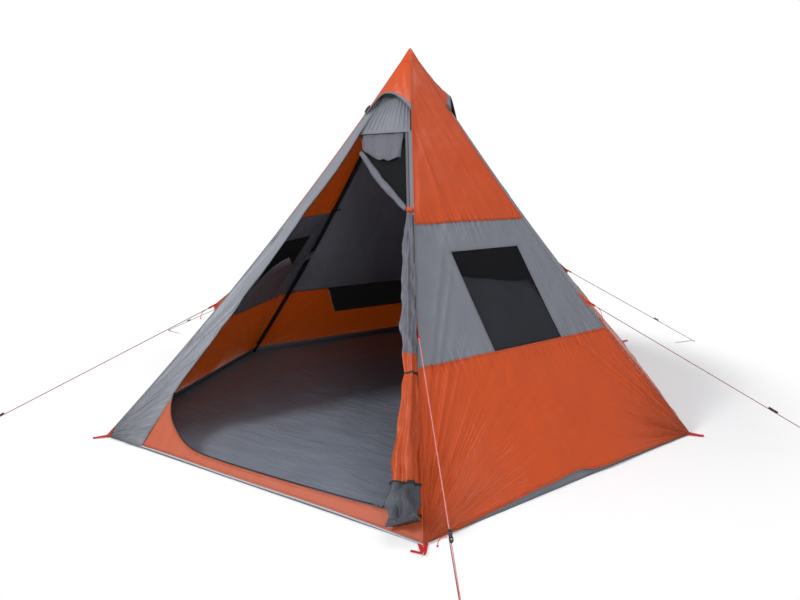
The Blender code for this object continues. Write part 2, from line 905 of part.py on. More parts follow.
def make_guy_line(corner):
    start, foot = guy_ends(corner)
    direction = (foot - start).normalized()
    points = [start.lerp(foot, step / (cord_points - 1)) for step in range(cord_points)]
    curve = tube_curve(f"guy_line_{corner}", points, cord_radius)
    add_part(f"guy_line_{corner}", curve, "flecked_cord")

    middle = start.lerp(foot, guy_lines[corner]["adjuster_share"])
    frame = frame_at(middle, direction, up_axis)
    size = (adjuster_length, adjuster_width, adjuster_thickness)
    name = f"adjuster_{corner}"
    body = box_mesh(name, size, Matrix())
    adjuster = add_part(name, body, "black_plastic")
    adjuster.matrix_world = frame
    reach = Vector((adjuster_length, 0, 0))
    bore = solid_mesh(f"bore_{corner}", tube_curve(f"bore_{corner}", (-reach, reach), adjuster_bore_radius))
    cutter = add_cutter(f"bore_{corner}", bore)
    cutter.matrix_world = frame
    combine(adjuster, cutter, "DIFFERENCE")


def make_peg(corner):
    """Wire peg laid on the ground below its guy line, with its hook round the line's end."""
    foot = guy_peg(corner)
    start = guy_ends(corner)[0]
    inward = Vector((start.x - foot.x, start.y - foot.y, 0)).normalized()
    side = up_axis.cross(inward)
    radius = peg_hook_radius
    level = peg_wire_radius + peg_clearance
    centre = foot + up_axis * level
    points = []
    for step in range(peg_arc_steps + 1):
        angle = 2 * math.pi * (0.25 - peg_hook_turn_share * step / peg_arc_steps)
        points.append(centre + side * (radius - radius * math.sin(angle)) - inward * (radius * math.cos(angle)))
    points.reverse()
    points.append(centre + inward * peg_length)
    curve = tube_curve(f"peg_{corner}", [point - foot for point in points], peg_wire_radius)
    peg = add_part(f"peg_{corner}", curve, "bright_wire")
    peg.location = foot


make_groundsheet()
make_window_face("right", window_offset, right_cover_share)
make_window_face("left", -window_offset, left_cover_share)
make_window_face("rear")
make_hood_face("back_left", True)
make_hood_face("back_right", False)
make_door_face()
make_door_roll()
make_zip_slider()
for hooded in ("door", "back_left", "back_right"):
    make_hood(hooded)
make_peak_cap()
make_poles()
make_hub()
for corner_name in corner_order:
    make_tab(corner_name)
for corner_name in guy_lines:
    make_guy_line(corner_name)
    make_peg(corner_name)
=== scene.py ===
# %% [markdown]
# # A pyramid tent, dressed for a picture
#
# The imported model gives the tent's exact frame: where each ridge, seam, window and peg is.
# Here each plain panel becomes real cloth, with folds, seams, hems and a woven finish.
# We load the frame first.

import json
import math

import bmesh
import bpy
import numpy as np
from mathutils import Matrix, Vector
from mathutils.kdtree import KDTree


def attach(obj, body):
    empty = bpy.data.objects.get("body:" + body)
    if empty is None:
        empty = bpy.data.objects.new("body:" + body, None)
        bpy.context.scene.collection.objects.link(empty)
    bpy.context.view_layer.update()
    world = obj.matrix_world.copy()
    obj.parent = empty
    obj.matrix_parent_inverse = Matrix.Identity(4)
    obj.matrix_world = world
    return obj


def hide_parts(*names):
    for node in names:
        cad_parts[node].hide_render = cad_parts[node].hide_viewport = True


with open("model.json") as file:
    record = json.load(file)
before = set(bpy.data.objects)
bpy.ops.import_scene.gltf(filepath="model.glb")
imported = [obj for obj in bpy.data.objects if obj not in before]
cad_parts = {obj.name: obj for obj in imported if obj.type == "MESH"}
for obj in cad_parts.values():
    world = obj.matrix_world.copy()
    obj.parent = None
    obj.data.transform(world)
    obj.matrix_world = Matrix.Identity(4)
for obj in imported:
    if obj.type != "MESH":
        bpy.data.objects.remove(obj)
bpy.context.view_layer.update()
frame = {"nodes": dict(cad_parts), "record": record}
nodes = frame["nodes"]

# %% [markdown]
# ## The tent's plan in numbers
#
# A pyramid tent is a few straight lines: corners on the ground, one peak, and ridges between them.
# The poles bow a little inward, so each ridge follows a shallow parabola.
# With these few values every piece of cloth can be put exactly where the frame has it.

# %% Corners, ridges and faces
PEAK_HEIGHT = 2.18
PEAK_Y = -0.257571
RIDGE_BOW = 0.054
LOWER_SEAM = 0.262
UPPER_SEAM = 0.55
TOP_SHARE = 0.985
UP = Vector((0, 0, 1))
CORNERS = {
    "front_left": (-1.04, 1.57),
    "front_right": (1.04, 1.57),
    "side_right": (1.70, -0.17),
    "back_right": (0.82, -2.08),
    "back_left": (-0.82, -2.08),
    "side_left": (-1.70, -0.17),
}
FACES = {
    "door": ("front_left", "front_right"),
    "right": ("front_right", "side_right"),
    "back_right": ("side_right", "back_right"),
    "rear": ("back_right", "back_left"),
    "back_left": ("back_left", "side_left"),
    "left": ("side_left", "front_left"),
}
peak = np.array((0.0, PEAK_Y, PEAK_HEIGHT))


def on_ground(across, depth):
    """A place on the ground, so far to the right of the peak and so far in front of it."""
    return np.array((across, PEAK_Y - depth, 0.0))


def ground(corner):
    return on_ground(*CORNERS[corner])


def outward(corner):
    """Level direction from the peak's foot to a corner."""
    across, depth = CORNERS[corner]
    return np.array((across, -depth, 0.0)) / math.hypot(across, depth)


def unit(vectors):
    return vectors / np.linalg.norm(vectors, axis=-1, keepdims=True)


def placed(spot, *axes):
    """A matrix that moves things to a spot and turns them to three axes."""
    return Matrix.Translation(spot) @ Matrix(axes).transposed().to_4x4()


def ridge(corner, share, inset=0.0):
    """Points on a ridge, from its corner at share 0 to the peak at share 1, inset from the cloth."""
    share = np.atleast_1d(np.asarray(share, float))
    reach = math.hypot(*CORNERS[corner])
    slope = math.hypot(reach, PEAK_HEIGHT)
    inward = inset + RIDGE_BOW * 4 * share * (1 - share)
    radius = reach * (1 - share) - inward * PEAK_HEIGHT / slope
    height = PEAK_HEIGHT * share - inward * reach / slope
    points = np.outer(radius, outward(corner))
    points[:, 1] += PEAK_Y
    points[:, 2] += height
    return points


class Face:
    """A face's own frame: X along its foot, Y up the slope, Z outward."""

    def __init__(self, name):
        self.name = name
        self.left, self.right = FACES[name]
        start, end = ground(self.left), ground(self.right)
        along, out = unit(end - start), unit(np.cross(end - start, peak - start))
        self.axes = np.array((along, np.cross(out, along), out))
        self.middle = 0.5 * (start + end)
        self.half = 0.5 * np.linalg.norm(end - start)
        self.slant = float(self.axes[1] @ (peak - self.middle))

    def local(self, points):
        return (points - self.middle) @ self.axes.T

    def sides(self, y):
        """The two ridges' X at a height up the face."""
        share = np.asarray(y, float) / self.slant
        left = self.local(ridge(self.left, share))[:, 0]
        right = self.local(ridge(self.right, share))[:, 0]
        return left, right

    def place(self, x, y, lift=0.0):
        """Points on the bowed cloth, lifted outward from it."""
        x = np.atleast_1d(np.asarray(x, float))
        y = np.atleast_1d(np.asarray(y, float))
        share = y / self.slant
        for _ in range(2):
            left = self.local(ridge(self.left, share))
            right = self.local(ridge(self.right, share))
            where = (x - left[:, 0]) / np.maximum(right[:, 0] - left[:, 0], 1e-4)
            found = left + where[:, None] * (right - left)
            share = share + (y - found[:, 1]) / self.slant
        depth = found[:, 2] + lift
        flat = np.stack((x, y, depth), axis=1)
        return self.middle + flat @ self.axes


faces = {name: Face(name) for name in FACES}
print("slants:", {name: round(face.slant, 3) for name, face in faces.items()})

# %% [markdown]
# ## The camera
#
# The picture was taken from the tent's front right with a moderately wide lens at chest height.
# Matching corners, ridges and pegs to one perspective gives the place, the turn and the lens.

# %% Camera
CAMERA_PLACE = Vector((2.2632, PEAK_Y - 3.5553, 1.4002))
CAMERA_YAW = -0.5858
CAMERA_PITCH = 0.1823
CAMERA_ROLL = -0.0116
FOCAL_PIXELS = 657.27
IMAGE_WIDTH = 800

ahead = Vector(
    (
        math.sin(CAMERA_YAW) * math.cos(CAMERA_PITCH),
        math.cos(CAMERA_YAW) * math.cos(CAMERA_PITCH),
        -math.sin(CAMERA_PITCH),
    )
)
level = Vector((math.cos(CAMERA_YAW), -math.sin(CAMERA_YAW), 0))
upright = level.cross(ahead)
right_hand = level * math.cos(CAMERA_ROLL) + upright * math.sin(CAMERA_ROLL)
head = upright * math.cos(CAMERA_ROLL) - level * math.sin(CAMERA_ROLL)
camera_data = bpy.data.cameras.new("camera")
camera_data.sensor_width = 36
camera_data.lens = FOCAL_PIXELS / IMAGE_WIDTH * camera_data.sensor_width
camera = bpy.data.objects.new("camera", camera_data)
camera.matrix_world = placed(CAMERA_PLACE, right_hand, head, -ahead)
scene = bpy.context.scene
scene.collection.objects.link(camera)
scene.camera = camera
scene.view_settings.view_transform = "Standard"
print("lens:", round(camera_data.lens, 2), "mm")

# %% [markdown]
# ## Small tools for shader nodes
#
# Floor, world and cloth are all made of shader nodes, so adding one must be short to write.
# The first helper fills a node's own sockets with numbers, colours or the outputs of other nodes.
# The second adds a node with its settings, and the third does arithmetic with Math nodes.


# %% Node helpers
def fill(tree, target, values):
    """Puts values on a node's own sockets; the output of another node is linked instead."""
    for label, value in values.items():
        if isinstance(value, bpy.types.NodeSocket):
            tree.links.new(value, target.inputs[label])
        else:
            target.inputs[label].default_value = value


def node(tree, kind, values=None, **settings):
    added = tree.nodes.new(kind)
    for setting, value in settings.items():
        setattr(added, setting, value)
    fill(tree, added, values or {})
    return added


def maths(tree, operation, first, second=0.0):
    return node(tree, "ShaderNodeMath", {0: first, 1: second}, operation=operation).outputs[0]


def mix_shaders(tree, share, first, second):
    return node(tree, "ShaderNodeMixShader", {"Fac": share, 1: first, 2: second}).outputs[0]


def new_material(name):
    """A fresh material, its node tree and its main shader."""
    made = bpy.data.materials.new(name)
    made.use_nodes = True
    return made, made.node_tree, made.node_tree.nodes["Principled BSDF"]


def to_mesh(bm, name):
    mesh = bpy.data.meshes.new(name)
    bm.to_mesh(mesh)
    bm.free()
    return mesh


print("helpers: nodes, materials and meshes")

# %% [markdown]
# ## Floor, world and lamps
#
# The tent stands on a plain pale floor in soft studio light.
# The world is white to the camera and a quieter grey as a light, so the cloth keeps its colours.
# A large lamp from the front left gives the door face its brightness, a weaker one fills in from the
# right, and a wide one shines down from high above.
# Away from the tent the floor fades to white, but only for rays that look at it: the camera's own and
# those that arrive by a reflection or through something clear. As a light it stays a pale floor.

# %% Floor and light
LAMPS = (  # name, place, target, size in metres, watts
    ("key", (-3.4, -7.0, 5.2), (0, -0.6, 0.7), 2.2, 480),
    ("fill", (4.7, -4.9, 3.2), (1.0, -1.4, 0.5), 2.0, 125),
    ("top", (0.5, 1.0, 7.5), (0, 0, 0), 4.0, 150),
)
FLOOR_SIZE = 60
FLOOR_DROP = 0.002
FADE_START, FADE_END = 1.8, 2.6

for name, place, target, size, watts in LAMPS:
    data = bpy.data.lights.new(name, "AREA")
    data.size, data.energy = size, watts
    lamp = bpy.data.objects.new(name, data)
    scene.collection.objects.link(lamp)
    lamp.location = place
    lamp.rotation_mode = "QUATERNION"
    lamp.rotation_quaternion = (Vector(target) - Vector(place)).to_track_quat("-Z", "Y")

world = bpy.data.worlds.new("studio")
scene.world = world
world.use_nodes = True
tree = world.node_tree
tree.nodes.clear()
cast = node(tree, "ShaderNodeBackground", {"Color": (0.93, 0.96, 1, 1), "Strength": 0.46}).outputs[0]
seen = node(tree, "ShaderNodeBackground", {"Color": (1, 1, 1, 1)}).outputs[0]
looks = node(tree, "ShaderNodeLightPath").outputs["Is Camera Ray"]
node(tree, "ShaderNodeOutputWorld", {"Surface": mix_shaders(tree, looks, cast, seen)})

bm = bmesh.new()
bmesh.ops.create_grid(bm, x_segments=1, y_segments=1, size=0.5 * FLOOR_SIZE)
bmesh.ops.translate(bm, verts=bm.verts, vec=(0, 0, -FLOOR_DROP))
floor = bpy.data.objects.new("floor", to_mesh(bm, "floor"))
scene.collection.objects.link(floor)
floor_paint, tree, shader = new_material("floor_paint")
fill(tree, shader, {"Base Color": (0.9, 0.9, 0.9, 1), "Roughness": 0.9})
spot = node(tree, "ShaderNodeTexCoord").outputs["Object"]
away = node(tree, "ShaderNodeVectorMath", {0: spot}, operation="LENGTH").outputs["Value"]
fade = node(
    tree, "ShaderNodeMapRange", {"Value": away, "From Min": FADE_START, "From Max": FADE_END},
    interpolation_type="SMOOTHSTEP",
).outputs["Result"]
rays = node(tree, "ShaderNodeLightPath").outputs
looks = maths(tree, "MAXIMUM", rays["Is Camera Ray"], rays["Is Glossy Ray"])
looks = maths(tree, "MAXIMUM", looks, rays["Is Transmission Ray"])
white = node(tree, "ShaderNodeEmission").outputs[0]
backdrop = mix_shaders(tree, maths(tree, "MULTIPLY", looks, fade), shader.outputs[0], white)
fill(tree, tree.nodes["Material Output"], {"Surface": backdrop})
floor.data.materials.append(floor_paint)
print("stage: floor", FLOOR_SIZE, "m wide, lamps:", [lamp[0] for lamp in LAMPS])

# %% [markdown]
# ## Shared effects: weave, creases, seams, pull streaks and tone
#
# Tent cloth is a fine plain weave with a thin coating.
# Up close the threads show, from afar only soft creases and small changes of tone do.
# At a seam the cloth is doubled and sewn with two rows of stitches. Every panel carries an attribute
# that says how close its edge is, so the rows follow each cut edge.
# Two more attributes say where the cloth is pulled, and draw faint streaks there.
# Each effect is a node group, built once, that every cloth then uses with its own values.

# %% Node groups
FLOAT, VECTOR, COLOUR = "NodeSocketFloat", "NodeSocketVector", "NodeSocketColor"


def new_group(name, inputs, outputs):
    """A node group with its sockets, the outputs of its start and its end node."""
    group = bpy.data.node_groups.new(name, "ShaderNodeTree")
    for label, kind, value in inputs:
        socket = group.interface.new_socket(label, in_out="INPUT", socket_type=kind)
        if value is not None:
            socket.default_value = value
    for label, kind in outputs:
        group.interface.new_socket(label, in_out="OUTPUT", socket_type=kind)
    return group, node(group, "NodeGroupInput").outputs, node(group, "NodeGroupOutput")


def noise(tree, vector, scale, detail, roughness=0.5, distortion=0.0):
    values = {"Vector": vector, "Scale": scale, "Detail": detail, "Roughness": roughness}
    return node(tree, "ShaderNodeTexNoise", values | {"Distortion": distortion}).outputs["Fac"]


def sharp(tree, smooth, depth):
    """Turns smooth noise into narrow lines that stand where it passes its middle value."""
    off = maths(tree, "ABSOLUTE", maths(tree, "SUBTRACT", smooth, 0.5))
    return maths(tree, "MULTIPLY", off, -depth)


print("sockets of a group:", FLOAT, VECTOR, COLOUR)

# %% Weave and creases
weave, given, end = new_group(
    "weave", [("Vector", VECTOR, None), ("Threads", FLOAT, 900.0)], [("Height", FLOAT)]
)
values = {"Vector": given["Vector"], "Scale": given["Threads"], "Distortion": 0.6}
threads = [
    node(weave, "ShaderNodeTexWave", values, bands_direction=axis).outputs["Fac"] for axis in ("X", "Y")
]
fill(weave, end, {"Height": maths(weave, "MULTIPLY", *threads)})

creases, given, end = new_group(
    "creases",
    [("Vector", VECTOR, None), ("Stretch", VECTOR, (1.0, 0.22, 1.0)), ("Scale", FLOAT, 6.0)],
    [("Height", FLOAT)],
)
values = {0: given["Vector"], 1: given["Stretch"]}
drawn = node(creases, "ShaderNodeVectorMath", values, operation="MULTIPLY").outputs["Vector"]
closer = maths(creases, "MULTIPLY", given["Scale"], 4.5)
large = sharp(creases, noise(creases, drawn, given["Scale"], 4, distortion=0.25), 2.0)
small = sharp(creases, noise(creases, drawn, closer, 3, distortion=0.4), 2.0)
fill(creases, end, {"Height": maths(creases, "ADD", large, maths(creases, "MULTIPLY", small, 0.3))})
print("groups:", weave.name, creases.name)

# %% Seams and their stitches
SEAM_REACH = 0.05
SEAM_WIDTH = 0.014
STITCH_ROWS = (0.005, 0.011)
STITCH_LENGTH, STITCH_HALF_WIDTH = 0.005, 0.0006
DOUBLED_SHADE, STITCH_SHADE = 0.07, 0.35

seams, given, end = new_group(
    "seams", [("Closeness", FLOAT, 0.0), ("Vector", VECTOR, None)], [("Shade", FLOAT), ("Height", FLOAT)]
)
closeness = given["Closeness"]
doubled = maths(seams, "GREATER_THAN", closeness, 1 - SEAM_WIDTH / SEAM_REACH)
split = node(seams, "ShaderNodeSeparateXYZ", {0: given["Vector"]}).outputs
turns = [maths(seams, "MULTIPLY", split[axis], 2 * math.pi / STITCH_LENGTH) for axis in ("X", "Y")]
waves = [maths(seams, "SINE", turn) for turn in turns]
dash = maths(seams, "GREATER_THAN", maths(seams, "ADD", *waves), -0.2)
rows = []
for distance in STITCH_ROWS:
    off = maths(seams, "ABSOLUTE", maths(seams, "SUBTRACT", closeness, 1 - distance / SEAM_REACH))
    on_row = maths(seams, "LESS_THAN", off, STITCH_HALF_WIDTH / SEAM_REACH)
    rows.append(maths(seams, "MULTIPLY", on_row, dash))
stitched = maths(seams, "ADD", *rows)
shades = [maths(seams, "MULTIPLY", doubled, DOUBLED_SHADE), maths(seams, "MULTIPLY", stitched, STITCH_SHADE)]
fill(seams, end, {
    "Shade": maths(seams, "SUBTRACT", 1.0, maths(seams, "ADD", *shades)),
    "Height": maths(seams, "SUBTRACT", doubled, stitched),
})
print("stitch rows:", STITCH_ROWS, "m from the edge")

# %% Pull streaks and tone
pulls, given, end = new_group("pulls", [("Vector", VECTOR, None)], [("Height", FLOAT)])
split = node(pulls, "ShaderNodeSeparateXYZ", {0: given["Vector"]}).outputs
joined = node(pulls, "ShaderNodeCombineXYZ", {"X": split["X"], "Y": split["Y"]}).outputs[0]
streaks = sharp(pulls, noise(pulls, joined, 1.0, 2), 4.0)
fill(pulls, end, {"Height": maths(pulls, "MULTIPLY", streaks, split["Z"])})

tone, given, end = new_group(
    "tone",
    [
        ("Vector", VECTOR, None), ("Light", COLOUR, (1, 1, 1, 1)), ("Dark", COLOUR, (0, 0, 0, 1)),
        ("Scale", FLOAT, 3.0),
    ],
    [("Color", COLOUR), ("Mask", FLOAT)],
)
patches = noise(tone, given["Vector"], given["Scale"], 6, 0.6)
values = {"Factor": patches, 6: given["Dark"], 7: given["Light"]}
fill(tone, end, {"Color": node(tone, "ShaderNodeMix", values, data_type="RGBA").outputs[2], "Mask": patches})
print("node groups:", [group.name for group in bpy.data.node_groups])


# %% [markdown]
# ## Finishes
#
# One maker of finishes covers everything: two close colours, a roughness, and how strong the weave and
# the creases stand. Cloth also gets its seams and pull streaks, and lets some light shine through.
# Cloth reads its own UV map, which is laid out in metres, so threads follow the cloth round its folds.
# Hard things read the object's own coordinates.


# %% Making a finish
SEAM_DEPTH, CORNER_PULL_DEPTH, SEAM_PULL_DEPTH = 0.0006, 0.008, 0.006
THREAD_DEPTH = 0.00012
ROUGHNESS_SPREAD = 0.06
finishes, slots = {}, {}


def finish(
    name, light, dark, roughness, weave_depth=0.0, crease_depth=0.0, slot=None, space="UV", patch=5.0,
    threads=900.0, crease_scale=6.0, stretch=(1.0, 0.22, 1.0), metallic=0.0, specular=0.4, alpha=1.0,
    glow=None, glow_share=0.0,
):
    """Makes a finish; slot is its name in the frame's record where that differs."""
    finishes[name], tree, shader = new_material(name)
    slots[name] = slot or name
    source = node(tree, "ShaderNodeTexCoord").outputs[space]

    def effect(group, **values):
        return node(tree, "ShaderNodeGroup", values, node_tree=group).outputs

    def attribute(label, part):
        return node(tree, "ShaderNodeAttribute", attribute_name=label).outputs[part]

    shade = effect(tone, Vector=source, Light=(*light, 1), Dark=(*dark, 1), Scale=patch)
    colour, heights = shade["Color"], []
    if weave_depth:
        sewn = effect(seams, Closeness=attribute("seam", "Fac"), Vector=source)
        values = {"Factor": 1.0, 6: colour, 7: sewn["Shade"]}
        colour = node(tree, "ShaderNodeMix", values, data_type="RGBA", blend_type="MULTIPLY").outputs[2]
        heights.append((sewn, SEAM_DEPTH))
        heights.append((effect(pulls, Vector=attribute("corner_pull", "Vector")), CORNER_PULL_DEPTH))
        heights.append((effect(pulls, Vector=attribute("seam_pull", "Vector")), SEAM_PULL_DEPTH))
        heights.append((effect(weave, Vector=source, Threads=threads), weave_depth))
    if crease_depth:
        heights.append((effect(creases, Vector=source, Scale=crease_scale, Stretch=stretch), crease_depth))
    normal = {}
    for raised, depth in heights:
        values = {"Height": raised["Height"], "Distance": depth, **normal}
        normal = {"Normal": node(tree, "ShaderNodeBump", values).outputs["Normal"]}
    low, high = roughness - ROUGHNESS_SPREAD, roughness + ROUGHNESS_SPREAD
    values = {"Value": shade["Mask"], "To Min": low, "To Max": high}
    fill(tree, shader, {
        "Base Color": colour, "Roughness": node(tree, "ShaderNodeMapRange", values).outputs["Result"],
        "Metallic": metallic, "Specular IOR Level": specular, "Alpha": alpha, **normal,
    })
    if glow:
        through = node(tree, "ShaderNodeBsdfTranslucent", {"Color": (*glow, 1)}).outputs[0]
        both = mix_shaders(tree, glow_share, shader.outputs[0], through)
        fill(tree, tree.nodes["Material Output"], {"Surface": both})


def darker(colour, share):
    return tuple(value * share for value in colour)


def cloth(name, colour, roughness=0.5, crease=0.007, **more):
    """Plain coated cloth: two close tones, a fine weave, and creases."""
    finish(name, colour, darker(colour, 0.88), roughness, THREAD_DEPTH, crease, **more)


# %% [markdown]
# ## The tent's colours
#
# Orange and grey cloth make the tent. Darker copies of them carry painted shade where the cloth is gathered
# or lies in shadow, and paler copies carry painted sheen and painted light on the sill, its hem and the right
# window's cover.
# Guy lines are pale and red threads twisted together, which from afar is a coarse two-tone fleck.
# Poles, hub and pegs are shown as the frame has them, so its nodes get the finishes of their slots too.

# %% All finishes
SUNLIT_ORANGE = (1.0, 0.45, 0.006)
DAYLIGHT_GREY = (0.10, 0.30, 0.45)
MESH_BLACK = ((0.010, 0.011, 0.012), (0.006, 0.006, 0.007))
FLECK = 130.0

cloth("orange_cloth", (0.70, 0.092, 0.014), 0.30, glow=SUNLIT_ORANGE, glow_share=0.26, specular=0.5)
# A paler copy of the orange cloth for the sill: its washed-out tone is painted sheen from the frontal light.
cloth(
    "sheened_sill_orange_cloth", (0.48, 0.088, 0.030), 0.45, 0.004, slot="orange_cloth", glow=SUNLIT_ORANGE,
    glow_share=0.2,
)
# A darker, browner copy of the orange cloth: painted shade in the gathered door's folds.
cloth(
    "shaded_bundle_orange_cloth", (0.42, 0.052, 0.004), 0.42, 0.006, slot="orange_cloth", crease_scale=18.0,
    stretch=(1.0, 0.3, 1.0),
)
cloth("grey_cloth", (0.213, 0.221, 0.255), 0.36, glow=DAYLIGHT_GREY, glow_share=0.11)
cloth("pale_grey_cloth", (0.198, 0.206, 0.234), 0.45, stretch=(1.0, 0.3, 1.0))
cloth(
    "shaded_grey_cloth", (0.115, 0.117, 0.142), 0.5, 0.005, slot="grey_cloth", crease_scale=26.0,
    stretch=(1.0, 0.6, 1.0),
)
# A much darker copy of the grey cloth: painted shade on the door's crumpled end and the hoods' sewn ends.
cloth(
    "deep_shade_grey_cloth", (0.056, 0.061, 0.076), 0.5, 0.008, slot="grey_cloth", crease_scale=22.0,
    stretch=(1.0, 0.8, 1.0),
)
# A brighter, bluer copy of the grey cloth for the right window's cover: painted light on the cover behind the
# dark net.
cloth("cover_cloth", (0.34, 0.37, 0.44), 0.45, 0.004, slot="grey_cloth")
cloth("floor_cloth", (0.168, 0.190, 0.232), 0.40, 0.010, crease_scale=5.0, stretch=(0.28, 1.0, 1.0))
finish("dark_mesh", *MESH_BLACK, 0.8, 0.0002, alpha=0.95, threads=500.0, specular=0.1)
finish("window_mesh", *MESH_BLACK, 0.8, 0.0002, slot="dark_mesh", alpha=0.5, threads=500.0, specular=0.1)
# A pale copy of the pale grey cloth for the sill's hem: its brightness is painted light where the hem faces
# the lamps.
finish("hem_tape", (0.42, 0.43, 0.46), (0.34, 0.35, 0.38), 0.6, 0.0002, slot="pale_grey_cloth", threads=500.0)
finish(
    "zip_tape", (0.012, 0.012, 0.013), (0.006, 0.006, 0.007), 0.6, 0.0002, slot="black_plastic", threads=500.0
)
finish(
    "red_webbing", (0.62, 0.012, 0.012), (0.42, 0.006, 0.008), 0.6, 0.0003, slot="flecked_cord", threads=350.0
)
finish(
    "steel_tube", (0.020, 0.022, 0.027), (0.010, 0.011, 0.014), 0.38, space="Object", metallic=0.3, patch=14.0
)
finish("bright_wire", (0.62, 0.62, 0.64), (0.42, 0.42, 0.44), 0.28, space="Object", metallic=1.0, patch=60.0)
finish("black_plastic", (0.02, 0.02, 0.021), (0.012, 0.012, 0.013), 0.45, space="Object", patch=40.0)
for name, light, dark in (
    ("red_cord", (0.80, 0.42, 0.40), (0.42, 0.0, 0.01)),
    ("bright_red_cord", (0.80, 0.12, 0.12), (0.55, 0.0, 0.01)),
    ("muted_red_cord", (0.40, 0.12, 0.12), (0.09, 0.006, 0.009)),
    ("dark_cord", (0.10, 0.10, 0.11), (0.012, 0.012, 0.014)),
):
    finish(name, light, dark, 0.75, slot="flecked_cord", space="Object", patch=FLECK)

for subpart in frame["record"]["subparts"]:
    plain = nodes[subpart["node"]].data
    plain.materials.clear()
    plain.materials.append(finishes.get(subpart["material_slot"], finishes["red_cord"]))
print("finishes:", ", ".join(finishes))

# %% [markdown]
# ## Adding a piece
#
# Every piece is added in the same way. It gets its finish, rides on its moving body, and hides the plain
# node of the frame that it stands for.
# Thin cloth gets its thickness from a Solidify modifier, which closes its edges too.


# %% Adding a piece
CLOTH = 0.0011
made_names = []


def settle(piece, material, body="tent", replaced=None):
    """Gives a new piece its finish and its body, and hides the node that it stands for."""
    scene.collection.objects.link(piece)
    piece.data.materials.append(finishes[material])
    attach(piece, body)
    if replaced:
        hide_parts(replaced)
    made_names.append(piece.name)
    return piece


def add_piece(name, mesh, material, body="tent", replaced=None, thickness=None, offset=1.0):
    """Adds a smooth mesh, with a thickness if it is thin cloth."""
    for polygon in mesh.polygons:
        polygon.use_smooth = True
    piece = bpy.data.objects.new(name, mesh)
    if thickness:
        wall = piece.modifiers.new("cloth", "SOLIDIFY")
        wall.thickness, wall.offset = thickness, offset
        wall.use_even_offset = False
    return settle(piece, material, body, replaced)


def tell(title):
    """Prints the pieces made since the last such line."""
    print(f"{title}:", ", ".join(made_names))
    made_names.clear()


# %% [markdown]
# ## Guy lines
#
# Five thin flecked cords run straight from the tabs to their pegs, each through a black adjuster.
# Below its adjuster the front right line is doubled, so a second strand runs beside it to the peg.
# A taut cord is a curve with one open spline and a round bevel.
# Each cord runs from where it leaves the tent to just above its peg, and carries its adjuster.

# %% Guy lines and adjusters
CORD_DIAMETER, THIN_CORD = 0.004, 0.0034
ADJUSTER_LENGTH, ADJUSTER_WIDTH, ADJUSTER_THICKNESS = 0.05, 0.016, 0.007
PEG_EYE = 0.0087
PEGS = {
    "front_right": (1.6875, 2.334), "side_right": (2.43, -0.24), "back_right": (1.317, -2.405),
    "back_left": (-1.317, -2.405), "side_left": (-2.953, -0.314), "front_left": (-1.545, 2.335),
}
GUYS = {  # upper end, the adjuster's share of the length, finish
    "front_right": ((0.71433, -1.32501, 0.68133), 0.62, "red_cord"),
    "side_right": ((1.15935, -0.14182, 0.67605), 0.72, "muted_red_cord"),
    "back_right": ((0.57443, 1.14161, 0.67077), 0.68, "dark_cord"),
    "side_left": ((-1.16396, -0.14031, 0.6865), 0.80, "dark_cord"),
    "front_left": ((-0.70897, -1.32798, 0.67976), 0.72, "muted_red_cord"),
}


def cord(name, spots, diameter, material, body="tent", replaced=None):
    """A round cord through some spots."""
    curve = bpy.data.curves.new(name, "CURVE")
    curve.dimensions = "3D"
    curve.bevel_depth = 0.5 * diameter
    curve.bevel_resolution = 3
    curve.use_fill_caps = True
    spline = curve.splines.new("POLY")
    spline.points.add(len(spots) - 1)
    for point, spot in zip(spline.points, spots):
        point.co = (*spot, 1)
    return settle(bpy.data.objects.new(name, curve), material, body, replaced)


def taut(start, foot, steps):
    return [start.lerp(foot, step / steps) for step in range(steps + 1)]


def adjuster(corner, middle, direction):
    """A rounded black bar with two holes, through which the cord passes."""
    side = direction.cross(UP).normalized()
    bm = bmesh.new()
    bmesh.ops.create_grid(bm, x_segments=12, y_segments=4, size=0.5)
    for vert in bm.verts:
        along, across = vert.co.x, vert.co.y
        waist = 1 - 0.22 * math.exp(-((along / 0.2) ** 2))
        narrow = math.sqrt(max(0.0, 1 - (2 * abs(along)) ** 6 * 0.75))
        across *= ADJUSTER_WIDTH * waist * narrow
        vert.co = (ADJUSTER_LENGTH * along, across, -0.5 * ADJUSTER_THICKNESS)
    middles = [(polygon, polygon.calc_center_median()) for polygon in bm.faces]
    holes = [polygon for polygon, spot in middles if abs(spot.y) < 0.004 and 0.008 < abs(spot.x) < 0.0165]
    bmesh.ops.delete(bm, geom=holes, context="FACES")
    bmesh.ops.solidify(bm, geom=bm.faces[:], thickness=ADJUSTER_THICKNESS)
    bmesh.ops.recalc_face_normals(bm, faces=bm.faces)
    edges = [edge for edge in bm.edges if edge.calc_face_angle(0) > 0.6]
    bmesh.ops.bevel(bm, geom=edges, offset=0.0011, affect="EDGES", segments=3, profile=0.5, material=-1)
    matrix = placed(middle, direction, side, direction.cross(side))
    bmesh.ops.transform(bm, matrix=matrix, verts=bm.verts)
    name = f"adjuster_{corner}_bar"
    body, replaced = f"adjuster_{corner}_body", f"adjuster_{corner}"
    return add_piece(name, to_mesh(bm, name), "black_plastic", body, replaced)


for corner, (start, share, material) in GUYS.items():
    start, foot = Vector(start), Vector(np.round(on_ground(*PEGS[corner]) + (0, 0, PEG_EYE), 5))
    direction, middle = (foot - start).normalized(), start.lerp(foot, share)
    spots, replaced = taut(start, foot, 23), f"guy_line_{corner}"
    line = cord(f"{corner}_cord", spots, CORD_DIAMETER, material, replaced=replaced)
    fittings = [adjuster(corner, middle, direction), nodes[f"peg_{corner}"]]
    if corner == "front_right":
        beside = middle + 0.02 * direction + 0.005 * direction.cross(UP).normalized()
        strand = cord("front_right_second_cord", taut(beside, foot, 15), THIN_CORD, "muted_red_cord")
tell("guy lines")
